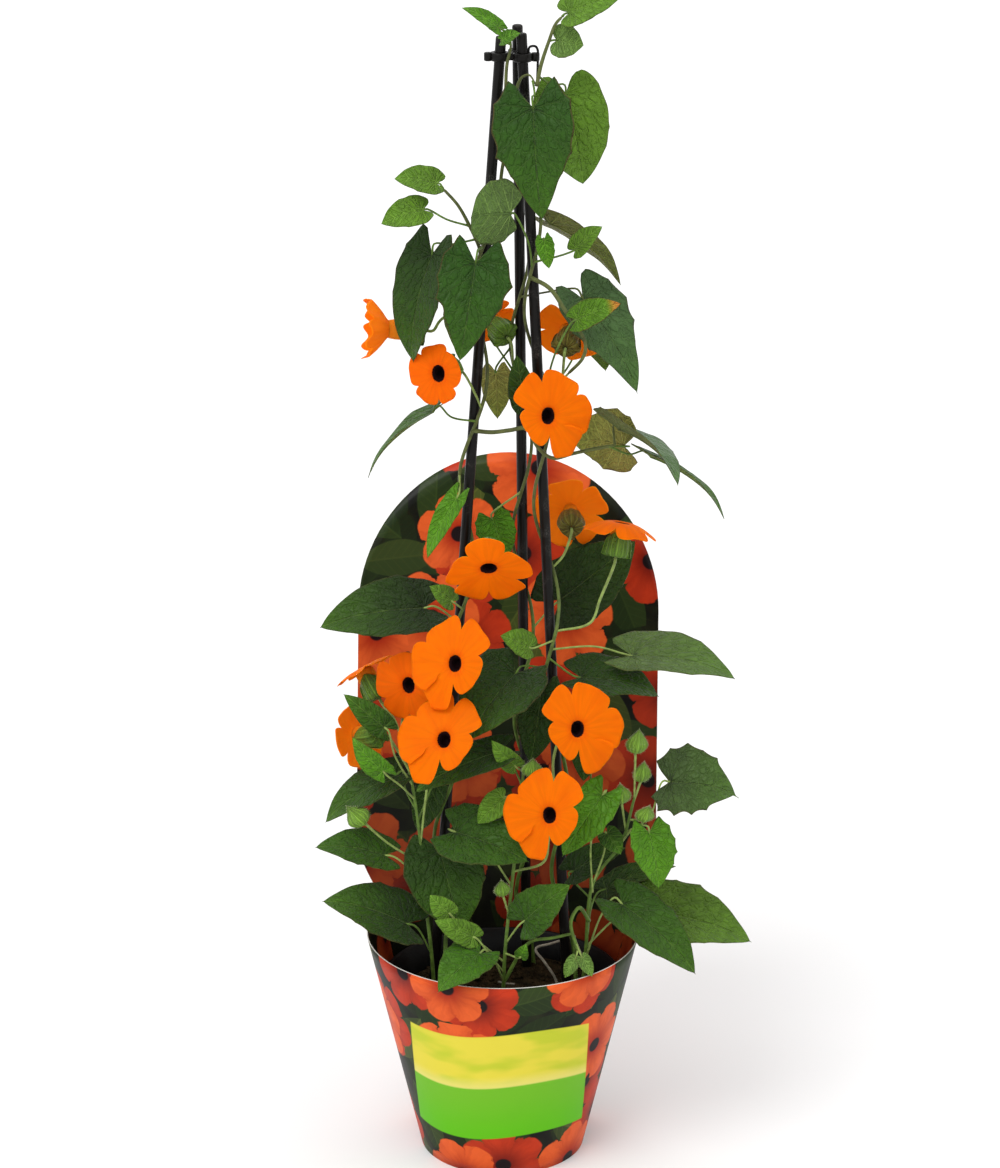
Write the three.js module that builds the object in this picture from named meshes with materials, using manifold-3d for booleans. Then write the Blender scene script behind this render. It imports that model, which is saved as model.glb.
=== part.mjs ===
// A black-eyed Susan vine (Thunbergia alata) in its pot: three canes, climbing stems, leaves and blooms.
// Units are millimetres, +Z is up and the origin is the middle of the pot's foot.
import * as THREE from 'three';
import { mergeVertices } from 'three/addons/utils/BufferGeometryUtils.js';
import Module from 'manifold-3d';

const wasm = await Module();
wasm.setup();

// ---- driving dimensions ----
const GAP = 0.3; // clearance between pieces that touch
const RIM_Z = 129; // height of the sleeve's front rim
const RIM_R = 76; // radius of the sleeve at its rim
const FOOT_R = 46; // radius of the sleeve at its foot
const PANEL_HALF = 86; // half the width of the sleeve's tall back panel
const PANEL_EDGE_Z = 287; // where the panel's straight edges turn into its arch
const PANEL_LEAN = 0.2054; // how far the panel leans back for each millimetre of height
const BACK_Y = 49.5; // the middle of the sleeve's back at its foot
const CARD = 0.8; // thickness of the sleeve's card
const POT_H = 100; // height of the inner pot
const POT_FOOT_R = 43.5;
const POT_SHOULDER_R = 62.5; // radius of the inner pot just under its lip
const POT_WALL = 1.5;
const POT_FLOOR = 2;
const POT_SIDES = 28;
const LIP_H = 12; // height of the pot's wider lip
const SOIL_Z = 89; // height of the soil in the middle
const CANE_R = 2.8;
const CANE_FOOT_Z = 35; // how deep the canes are pushed in
const CLIP_Z = 622.5; // height of the clip that holds the canes together
const STEM_R = 1.05;
const PETIOLE_R = 0.75;
const BLADE = 0.7; // thickness of a leaf
const TUBE_LENGTH = 17; // length of a bloom's tube, behind its five lobes
const CALYX_LENGTH = 19.6; // from the throat of a bloom to the end of its stalk
const TURN = 2 * Math.PI;

// ---- colours ----
const finish = (color, roughness) => ({ color, roughness, metalness: 0 });
const LEAF_GREEN = finish(0x2f6a1c, 0.5);
const PETAL_ORANGE = finish(0xf57a0c, 0.6);
const EYE_BLACK = finish(0x160810, 0.7);
const CANE_BLACK = finish(0x1b1b1a, 0.45);
const POT_BLACK = finish(0x242322, 0.5);
const SOIL_BROWN = finish(0x33251a, 0.95);
const SLEEVE_PRINT = finish(0xb8542c, 0.25);

const group = new THREE.Group();
const vec = (p) => new THREE.Vector3(...p);

// ---- solids ----
function solid(geometry) {
  const bare = geometry.clone();
  bare.deleteAttribute('normal');
  bare.deleteAttribute('uv');
  const merged = mergeVertices(bare, 1e-4);
  return new wasm.Manifold(
    new wasm.Mesh({
      numProp: 3,
      vertProperties: merged.attributes.position.array,
      triVerts: new Uint32Array(merged.index.array),
    }),
  );
}

function geometryOf(manifold) {
  const mesh = manifold.getMesh();
  const geometry = new THREE.BufferGeometry();
  geometry.setAttribute('position', new THREE.BufferAttribute(mesh.vertProperties, 3));
  geometry.setIndex(new THREE.BufferAttribute(mesh.triVerts, 1));
  geometry.computeVertexNormals();
  return geometry;
}

function addNode(name, geometry, look) {
  const mesh = new THREE.Mesh(geometry, new THREE.MeshStandardMaterial(look));
  mesh.name = name;
  group.add(mesh);
}

// Solids that run into each other, as one body without slivers where they meet.
const joined = (solids) => geometryOf(solids.reduce((all, one) => all.add(one)).asOriginal().simplify(0.03));

function indexed(points, faces) {
  const geometry = new THREE.BufferGeometry();
  const flat = points.flatMap((p) => [p.x, p.y, p.z]);
  geometry.setAttribute('position', new THREE.Float32BufferAttribute(flat, 3));
  geometry.setIndex(faces.flat());
  geometry.computeVertexNormals();
  return geometry;
}

// A sheet round a middle surface, as thick at each point as the list says: both faces are split alike.
function thickened(points, faces, thicknesses) {
  const normals = points.map(() => new THREE.Vector3());
  const edges = new Map();
  for (const [a, b, c] of faces) {
    const normal = points[b].clone().sub(points[a]).cross(points[c].clone().sub(points[a]));
    for (const corner of [a, b, c]) normals[corner].add(normal);
    for (const [from, to] of [[a, b], [b, c], [c, a]]) {
      if (!edges.delete(to + ' ' + from)) edges.set(from + ' ' + to, [from, to]);
    }
  }
  normals.forEach((normal) => normal.normalize());
  const top = points.map((p, i) => p.clone().addScaledVector(normals[i], thicknesses[i] / 2));
  const under = points.map((p, i) => p.clone().addScaledVector(normals[i], -thicknesses[i] / 2));
  const count = points.length;
  const shell = faces.map((face) => [...face]);
  for (const [a, b, c] of faces) shell.push([a + count, c + count, b + count]);
  for (const [from, to] of edges.values()) {
    shell.push([to, from, from + count], [to, from + count, to + count]);
  }
  return indexed([...top, ...under], shell);
}

// The two triangles of each cell between rows of points that lie one after another in a list.
function gridFaces(rows, columns, first = 0) {
  const faces = [];
  for (let row = 0; row < rows - 1; row += 1) {
    for (let column = 0; column < columns - 1; column += 1) {
      const a = first + row * columns + column;
      const b = a + columns;
      faces.push([a, a + 1, b + 1], [a, b + 1, b]);
    }
  }
  return faces;
}

// A closed tube whose rings sit on the points of a smooth route, perSpan of them from point to point.
function tube(route, radius, sides, perSpan = 1) {
  const path = new THREE.CatmullRomCurve3(route, false, 'centripetal');
  const centres = path.getPoints((route.length - 1) * perSpan);
  const points = [];
  const faces = [];
  const side = new THREE.Vector3(0.31, 0.17, 0.93);
  centres.forEach((centre, i) => {
    const ahead = centres[Math.min(i + 1, centres.length - 1)];
    const behind = centres[Math.max(i - 1, 0)];
    const along = ahead.clone().sub(behind).normalize();
    side.addScaledVector(along, -side.dot(along)).normalize();
    const third = along.clone().cross(side);
    for (let k = 0; k < sides; k += 1) {
      const angle = (TURN * k) / sides;
      points.push(centre.clone().addScaledVector(side, radius * Math.cos(angle))
        .addScaledVector(third, radius * Math.sin(angle)));
      const a = i * sides + k;
      const b = i * sides + ((k + 1) % sides);
      if (i < centres.length - 1) faces.push([a, b, b + sides], [a, b + sides, a + sides]);
    }
  });
  const last = points.length - sides;
  for (let k = 1; k < sides - 1; k += 1) faces.push([0, k + 1, k], [last, last + k, last + k + 1]);
  return solid(indexed(points, faces));
}

// A solid of revolution about the line from one point to another, its profile given as [radius, height].
function turned(profile, segments, from, direction) {
  const outline = profile.map(([radius, height]) => new THREE.Vector2(radius, height));
  const geometry = new THREE.LatheGeometry(outline, segments);
  const along = new THREE.Quaternion();
  along.setFromUnitVectors(new THREE.Vector3(0, 1, 0), direction.clone().normalize());
  geometry.applyQuaternion(along);
  geometry.translate(from.x, from.y, from.z);
  return geometry;
}

// ---- canes ----
const canes = {
  left: { foot: vec([-42.9, -13.2, CANE_FOOT_Z]), top: vec([-0.7, 0, 633]) },
  right: { foot: vec([39.9, -13, CANE_FOOT_Z]), top: vec([9.8, -2, 635]) },
  rear: { foot: vec([13, 41, CANE_FOOT_Z]), top: vec([7.4, 8.2, 637.5]) },
};

function caneAt(cane, z) {
  const share = (z - cane.foot.z) / (cane.top.z - cane.foot.z);
  return cane.foot.clone().lerp(cane.top, share);
}

function caneRod(cane, radius, sides) {
  const length = cane.foot.distanceTo(cane.top);
  const profile = [[0, 0], [radius, 0], [radius, length], [0, length]];
  return turned(profile, sides, cane.foot, cane.top.clone().sub(cane.foot));
}

for (const [side, cane] of Object.entries(canes)) {
  addNode('cane_' + side, caneRod(cane, CANE_R, 12), CANE_BLACK);
}

// ---- the clip across the canes, with its wire loop ----
const CLIP_H = 4.4;
const CLIP_HOLE_R = CANE_R + GAP + 0.35;
const CLIP_RING_R = CLIP_HOLE_R + 1.6;

function upright(radius, height, x, y, z, sides) {
  const profile = [[0, 0], [radius, 0], [radius, height], [0, height]];
  return solid(turned(profile, sides, vec([x, y, z]), vec([0, 0, 1])));
}

function caneClip() {
  const low = CLIP_Z - CLIP_H / 2;
  const centres = Object.values(canes).map((cane) => caneAt(cane, CLIP_Z));
  const bar = new THREE.BoxGeometry(23.5, 2.6, CLIP_H * 0.8);
  bar.translate(5.6, -1.2, CLIP_Z);
  const knobs = [-7.4, 17].map((x) => upright(2.2, CLIP_H, x, -1.2, low, 8));
  const rings = centres.map((c) => upright(CLIP_RING_R, CLIP_H, c.x, c.y, low, 12));
  const holes = centres.map((c) => upright(CLIP_HOLE_R, 3 * CLIP_H, c.x, c.y, low - CLIP_H, 12));
  const wire = tube([[13.4, -1.6, 624], [14, -1.6, 627.6], [17, -1.6, 628], [18.2, -1.6, 626],
    [18.2, -1.6, 618], [18, -1.6, 611]].map(vec), 0.7, 5);
  const arm = new THREE.BoxGeometry(3, 6, CLIP_H * 0.8);
  arm.translate(5.6, 3, CLIP_Z);
  const whole = [solid(bar), solid(arm), ...knobs, ...rings, wire].reduce((all, one) => all.add(one));
  return geometryOf(holes.reduce((rest, hole) => rest.subtract(hole), whole));
}
addNode('cane_clip', caneClip(), CANE_BLACK);

// ---- the inner pot, with its drainage holes ----
const lipFoot = POT_H - LIP_H;
const POT_SLOPE = (POT_SHOULDER_R - POT_FOOT_R) / lipFoot;
const sleeveSlope = (RIM_R - FOOT_R) / RIM_Z;
const potWallInside = (z) => POT_FOOT_R - POT_WALL + POT_SLOPE * (z - POT_FLOOR);

function innerPot() {
  const lip = FOOT_R + sleeveSlope * POT_H - CARD / 2 - 0.7;
  const profile = [
    [0, 0], [POT_FOOT_R, 0], [POT_SHOULDER_R, lipFoot], [lip - sleeveSlope * LIP_H, lipFoot],
    [lip, POT_H], [lip - 2.5, POT_H],
    [potWallInside(lipFoot + 2), lipFoot + 2], [potWallInside(POT_FLOOR), POT_FLOOR], [0, POT_FLOOR],
  ];
  let pot = solid(turned(profile, POT_SIDES, vec([0, 0, 0]), vec([0, 0, 1])));
  for (let i = 0; i < 6; i += 1) {
    const angle = (TURN * i) / 6;
    pot = pot.subtract(upright(4, 6, 32 * Math.cos(angle), 32 * Math.sin(angle), -2, 8));
  }
  return geometryOf(pot);
}
addNode('inner_pot', innerPot(), POT_BLACK);

// ---- the card sleeve: a wrap round the pot that rises into a tall arched panel behind the plant ----
const WRAP_STEPS = 18;
const BACK_STEPS = 12;
const PANEL_ROWS = [0.1, 0.24, 0.45, 0.65, 0.83, 1]; // shares of the panel's height
const FOLD_FOOT = [44.5, 30]; // where the wrap turns into the back, at the foot and at the rim
const FOLD_RIM = [73, 48];
const SHOULDER_H = 34; // height over which the panel widens from the wrap to its full width

function sleeve() {
  const backX = (j) => Math.cos((Math.PI * j) / BACK_STEPS);
  const ring = (z) => {
    const share = z / RIM_Z;
    const radius = FOOT_R + (RIM_R - FOOT_R) * share;
    const foldX = FOLD_FOOT[0] + (FOLD_RIM[0] - FOLD_FOOT[0]) * share;
    const foldY = FOLD_FOOT[1] + (FOLD_RIM[1] - FOLD_FOOT[1]) * share;
    const middleY = BACK_Y + PANEL_LEAN * z;
    const points = [];
    for (let i = 0; i <= WRAP_STEPS; i += 1) {
      const angle = (-Math.PI * i) / WRAP_STEPS;
      points.push(vec([radius * Math.cos(angle), radius * Math.sin(angle), z]));
    }
    for (let j = BACK_STEPS; j >= 0; j -= 1) {
      const bow = 1 - backX(j) ** 2;
      points.push(vec([foldX * backX(j), foldY + (middleY - foldY) * bow, z]));
    }
    return points;
  };
  const points = [...ring(0), ...ring(RIM_Z)];
  const around = points.length / 2;
  const faces = [];
  for (let i = 0; i < around; i += 1) {
    const next = (i + 1) % around;
    faces.push([i, i + around, next + around], [i, next + around, next]);
  }
  const lean = 1 / Math.hypot(1, PANEL_LEAN);
  const panelFirst = points.length - BACK_STEPS - 1;
  for (const row of PANEL_ROWS) {
    for (let j = BACK_STEPS; j >= 0; j -= 1) {
      const arch = lean * PANEL_HALF * Math.sqrt(Math.max(0, 1 - backX(j) ** 2));
      const z = RIM_Z + (PANEL_EDGE_Z + arch - RIM_Z) * row;
      const bow = 28 - 13 * Math.min(1, (z - RIM_Z) / (PANEL_EDGE_Z - RIM_Z));
      const widening = Math.sin((Math.PI / 2) * Math.min(1, (z - RIM_Z) / SHOULDER_H));
      const x = (FOLD_RIM[0] + (PANEL_HALF - FOLD_RIM[0]) * widening) * backX(j);
      points.push(vec([x, BACK_Y + PANEL_LEAN * z - bow * backX(j) ** 2, z]));
    }
  }
  faces.push(...gridFaces(PANEL_ROWS.length + 1, BACK_STEPS + 1, panelFirst).map(([a, b, c]) => [a, c, b]));
  return thickened(points, faces, points.map(() => CARD));
}
addNode('sleeve', sleeve(), SLEEVE_PRINT);

// ---- leaves ----
const LEAF_ROWS = [0, 0.12, 0.3, 0.52, 0.78, 1];
const SMALL_LEAF_ROWS = [0, 0.15, 0.45, 0.75, 1];
const LEAF_LOBE = 0.26; // how far the lobes reach back past the stalk, as a share of the length
const LEAF_FOLD = 0.22; // rise of each half towards its edge
const LEAF_ARCH = 0.07; // rise of the midrib between stalk and tip
const STALK_STEP = 16; // spacing of a stalk's sections
const LEAF_SIDES = { first: [-1, 1], middle: [-1, 0, 1], last: [0] };
const HALF_WIDTHS = [[0, 0.5], [0.12, 0.86], [0.28, 1], [0.5, 0.88], [0.72, 0.6], [0.88, 0.28], [1, 0]];

function leafHalfWidth(t) {
  const after = Math.max(1, HALF_WIDTHS.findIndex(([at]) => at >= t));
  const [from, low] = HALF_WIDTHS[after - 1];
  const [to, high] = HALF_WIDTHS[after];
  return low + ((high - low) * (t - from)) / (to - from);
}

// The leaf's own frame: along runs from stalk to tip, and up is out of its upper side.
function leafFrame(base, tip, face) {
  const along = tip.clone().sub(base);
  const length = along.length();
  along.normalize();
  const up = face.clone().addScaledVector(along, -face.dot(along)).normalize();
  const across = along.clone().cross(up);
  const at = (x, y, z) => base.clone().addScaledVector(across, x).addScaledVector(along, y)
    .addScaledVector(up, z);
  return { length, at };
}

// A leaf on its stalk, as one sheet: a narrow thick strip that runs in between the two lobes of the blade.
function leaf([route, base, tip, width, face]) {
  const frame = leafFrame(vec(base), vec(tip), vec(face));
  const neck = frame.at(0, -0.1 * frame.length, 0.5);
  const path = new THREE.CatmullRomCurve3([...route.map(vec), neck, vec(base)], false, 'centripetal');
  const centres = path.getSpacedPoints(Math.max(3, Math.round(path.getLength() / STALK_STEP)));
  const points = [];
  const thicknesses = [];
  const add = (point, thickness) => {
    points.push(point);
    thicknesses.push(thickness);
  };
  const side = frame.at(1, 0, 0).sub(vec(base));
  const sides = [];
  for (let i = centres.length - 1; i >= 0; i -= 1) {
    const along = centres[Math.min(i + 1, centres.length - 1)].clone().sub(centres[Math.max(i - 1, 0)]);
    along.normalize();
    side.addScaledVector(along, -side.dot(along)).normalize();
    sides.unshift(side.clone());
  }
  centres.forEach((centre, i) => {
    const thickness = i < centres.length - 1 ? 2 * PETIOLE_R : BLADE;
    add(centre.clone().addScaledVector(sides[i], -PETIOLE_R), thickness);
    add(centre.clone().addScaledVector(sides[i], PETIOLE_R), thickness);
  });
  const faces = gridFaces(centres.length, 2);
  const left = points.length - 2;
  const right = left + 1;
  const rows = width > 15 ? LEAF_ROWS : SMALL_LEAF_ROWS;
  rows.forEach((t, row) => {
    const tooth = t > 0 && t < 1 && width > 15 ? 1 + (row % 2 ? -0.05 : 0.05) : 1;
    const half = (width / 2) * leafHalfWidth(t) * tooth;
    const arch = LEAF_ARCH * frame.length * 4 * t * (1 - t);
    const lobe = LEAF_LOBE * (1 - t) ** 3;
    for (const x of LEAF_SIDES[t === 0 ? 'first' : t < 1 ? 'middle' : 'last']) {
      const along = frame.length * (t - lobe * Math.abs(x));
      const rise = arch + LEAF_FOLD * half * Math.abs(x);
      add(frame.at(x * half, along, rise), BLADE);
    }
  });
  const lobeLeft = right + 1;
  const edge = right + 3;
  const middle = edge + 1;
  faces.push([lobeLeft, left, edge], [left, middle, edge], [left, right, middle]);
  faces.push([right, edge + 2, middle], [right, lobeLeft + 1, edge + 2]);
  faces.push(...gridFaces(rows.length - 2, 3, edge));
  const last = points.length - 1;
  faces.push([last - 3, last - 2, last], [last - 2, last - 1, last]);
  return solid(thickened(points, faces, thicknesses));
}

// ---- blooms ----
const BLOOM_COLUMNS = 20;
const LOBE_SHARES = [0, 0.17, 0.5, 0.83]; // shares of the way from one notch to the next
const THROAT_R = 3.9;

// The five lobes of a bloom, one after another round it:
// [angle of the notch before the lobe in degrees, share of the bloom's radius at the notch, share at the lobe].
const lobePlans = {
  even: [[0, 0.6, 0.95], [72, 0.6, 0.98], [144, 0.6, 0.94], [216, 0.6, 0.97], [288, 0.6, 0.95]],
  toLeft: [[18, 0.58, 0.93], [80, 0.62, 1], [148, 0.78, 1.07], [212, 0.9, 1.1], [266, 0.42, 0.68]],
  toRight: [[-86, 0.42, 1.1], [-32, 0.9, 1.07], [32, 0.78, 1], [100, 0.62, 0.93], [162, 0.58, 0.68]],
  funnel: [[-40, 0.7, 0.78], [70, 0.8, 0.97], [138, 0.8, 1.15], [213, 0.82, 1.17], [270, 0.82, 1]],
};
const NECK_R = 4.8;

function bloomFrame(throat, facing) {
  const out = facing.clone().normalize();
  const toFront = new THREE.Vector3(0, -1, 0.3).normalize();
  const side = toFront.clone().addScaledVector(out, -toFront.dot(out));
  if (side.length() < 0.5) side.set(1, 0, 0).addScaledVector(out, -out.x);
  side.normalize();
  const third = out.clone().cross(side);
  const at = (radius, angle, z) => throat.clone().addScaledVector(out, z)
    .addScaledVector(side, radius * Math.cos(angle))
    .addScaledVector(third, radius * Math.sin(angle));
  return { out, at };
}

// The orange corolla: five lobes that spread from the throat, and the tube behind them.
function corolla(frame, width, reflex, lobes, roll) {
  const columns = lobes.flatMap(([from, notch, reach], lobe) => {
    const to = lobe < 4 ? lobes[lobe + 1][0] : lobes[0][0] + 360;
    return LOBE_SHARES.map((share) => ({
      angle: ((roll + from + share * (to - from)) * Math.PI) / 180,
      reach: ((share === 0 ? notch : reach) * width) / 2,
    }));
  });
  const lift = (radius) => 0.6 - (reflex * radius * radius) / (width / 2);
  const ring = (radius, z) => columns.map(({ angle }) => frame.at(radius, angle, z));
  const rings = [
    ring(THROAT_R, -0.8),
    columns.map(({ angle, reach }) => frame.at(0.6 * reach, angle, lift(0.6 * reach))),
    columns.map(({ angle, reach }) => frame.at(reach, angle, lift(reach))),
    columns.map(({ angle, reach }) => frame.at(reach, angle, lift(reach) - BLADE)),
    ring(NECK_R, -3.4),
  ];
  const points = [frame.at(0, 0, -8.6), ...rings.flat(), frame.at(0, 0, -TUBE_LENGTH)];
  const faces = [];
  for (let i = 0; i < BLOOM_COLUMNS; i += 1) {
    const next = (i + 1) % BLOOM_COLUMNS;
    faces.push([0, 1 + i, 1 + next]);
    for (let row = 0; row < rings.length - 1; row += 1) {
      const a = 1 + row * BLOOM_COLUMNS + i;
      const b = 1 + row * BLOOM_COLUMNS + next;
      faces.push([a, a + BLOOM_COLUMNS, b + BLOOM_COLUMNS], [a, b + BLOOM_COLUMNS, b]);
    }
    const rear = 1 + (rings.length - 1) * BLOOM_COLUMNS;
    faces.push([points.length - 1, rear + next, rear + i]);
  }
  return indexed(points, faces);
}

// The dark lining of the throat, a small cup.
function throatEye(throat, frame) {
  const profile = [[0, -7.9], [3.4, -0.9], [2.7, -0.9], [0, -5.6]];
  return turned(profile, 8, throat, frame.out);
}

// The two green bracts that clasp the tube, joined at their edges into one cup with two pointed lobes.
const BRACT_COLUMNS = 8;
const BRACT_RINGS = [[5.9, -17.6], [6.2, -11]]; // radius and place along the bloom's axis
const BRACT_RIM_R = 5.8;
const BRACT_RIM_Z = [-4.4, -6.8, -9, -6.8]; // from the tip of one bract over the dip to the next
const BRACT_SPREAD = 0.16; // how much wider the cup is from dip to dip than from tip to tip

function bractCup(frame) {
  const rings = [];
  const ring = (radius, zAt) => Array.from({ length: BRACT_COLUMNS }, (_, i) => {
    const angle = (TURN * i) / BRACT_COLUMNS;
    return frame.at(radius * (1 + BRACT_SPREAD * Math.sin(angle) ** 2), angle, zAt(i));
  });
  const rimZ = (i) => BRACT_RIM_Z[i % 4];
  for (const [radius, z] of BRACT_RINGS) rings.push(ring(radius, () => z));
  rings.push(ring(BRACT_RIM_R, rimZ), ring(BRACT_RIM_R - BLADE, rimZ));
  for (const [radius, z] of [...BRACT_RINGS].reverse()) rings.push(ring(radius - BLADE, () => z + 0.3));
  const points = [frame.at(0, 0, -CALYX_LENGTH - 0.4), ...rings.flat(), frame.at(0, 0, -CALYX_LENGTH + 0.8)];
  const faces = [];
  for (let i = 0; i < BRACT_COLUMNS; i += 1) {
    const next = (i + 1) % BRACT_COLUMNS;
    faces.push([0, 1 + next, 1 + i]);
    for (let row = 0; row < rings.length - 1; row += 1) {
      const a = 1 + row * BRACT_COLUMNS + i;
      const b = 1 + row * BRACT_COLUMNS + next;
      faces.push([a, b, b + BRACT_COLUMNS], [a, b + BRACT_COLUMNS, a + BRACT_COLUMNS]);
    }
    const inner = 1 + (rings.length - 1) * BRACT_COLUMNS;
    faces.push([points.length - 1, inner + i, inner + next]);
  }
  return solid(indexed(points, faces));
}

// The green stalk and bracts of a bloom belong to the stem it grows from.
function bloomStalk([, route, throat, facing]) {
  const frame = bloomFrame(vec(throat), vec(facing));
  const end = frame.at(0, 0, -CALYX_LENGTH);
  const before = frame.at(0, 0, -3.5 - CALYX_LENGTH);
  return [tube([...route.map(vec), before, end], PETIOLE_R, 3, 1), bractCup(frame)];
}

function addBloom([name, , throat, facing, width, reflex, plan, roll]) {
  const frame = bloomFrame(vec(throat), vec(facing));
  addNode(name, corolla(frame, width, reflex, lobePlans[plan], roll), PETAL_ORANGE);
  addNode(name + '_eye', throatEye(vec(throat), frame), EYE_BLACK);
}

// ---- buds, closed in their bracts ----
function bud([route, base, tip, width]) {
  const along = vec(tip).sub(vec(base));
  const length = along.length();
  const half = width / 2;
  const profile = [[0, 0], [0.8 * half, 0.14 * length], [half, 0.4 * length],
    [0.5 * half, 0.78 * length], [0, length]];
  const inside = vec(base).addScaledVector(along, 0.2);
  const stalk = tube([...route.map(vec), vec(base), inside], PETIOLE_R, 3);
  return [stalk, solid(turned(profile, 6, vec(base), along))];
}

// ---- stems ----
const TWINE_R = CANE_R + STEM_R + 1.7;

// A point of a stem that winds up a cane, at a height: it crosses the cane's front at frontZ.
function twinePoint(cane, pitch, frontZ, z) {
  const angle = -Math.PI / 2 + (TURN * (z - frontZ)) / pitch;
  const axis = caneAt(cane, z);
  return [axis.x + TWINE_R * Math.cos(angle), axis.y + TWINE_R * Math.sin(angle), z];
}

function twine(cane, pitch, frontZ, fromZ, toZ) {
  const count = Math.round((8 * (toZ - fromZ)) / pitch);
  return Array.from({ length: count + 1 }, (_, i) =>
    twinePoint(cane, pitch, frontZ, fromZ + ((toZ - fromZ) * i) / count));
}

// A point at a given height on a rising stem.
const heightOn = (route) => (z) => {
  const after = Math.max(1, route.findIndex((p) => p[2] >= z));
  const [low, high] = [vec(route[after - 1]), vec(route[after])];
  return low.clone().lerp(high, (z - low.z) / (high.z - low.z)).toArray();
};

const onLeft = (z) => twinePoint(canes.left, 104, 424, z);
const onRight = (z) => twinePoint(canes.right, 106, 513, z);
const onRear = (z) => twinePoint(canes.rear, 110, 492, z);

// The routes of the three low shoots.
const lowLeft = [
  [-36, -30, 83], [-38, -35, 130], [-42, -36, 170], [-44, -34, 199], [-47, -32, 222], [-50, -30, 241],
];
const lowFront = [[2, -36, 83], [2, -43, 110], [3, -48, 137], [6, -46, 170], [9, -42, 200], [12, -38, 232],
  [13, -36, 246]];
const lowRight = [
  [44, -31, 83], [47, -31, 130], [51, -34, 174], [66, -36, 198], [70, -35.5, 212], [73, -35, 226],
];
const onLowLeft = heightOn(lowLeft);
const onLowFront = heightOn(lowFront);
const onLowRight = heightOn(lowRight);

// Joints that several stalks share.
const TOP_NODE = [18, -13, 609.5];
const CROSS_NODE = [50, -11, 415];
const CROSS_END = [60, -8, 416];
const PAIR_NODE = [43, -56, 143];

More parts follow.
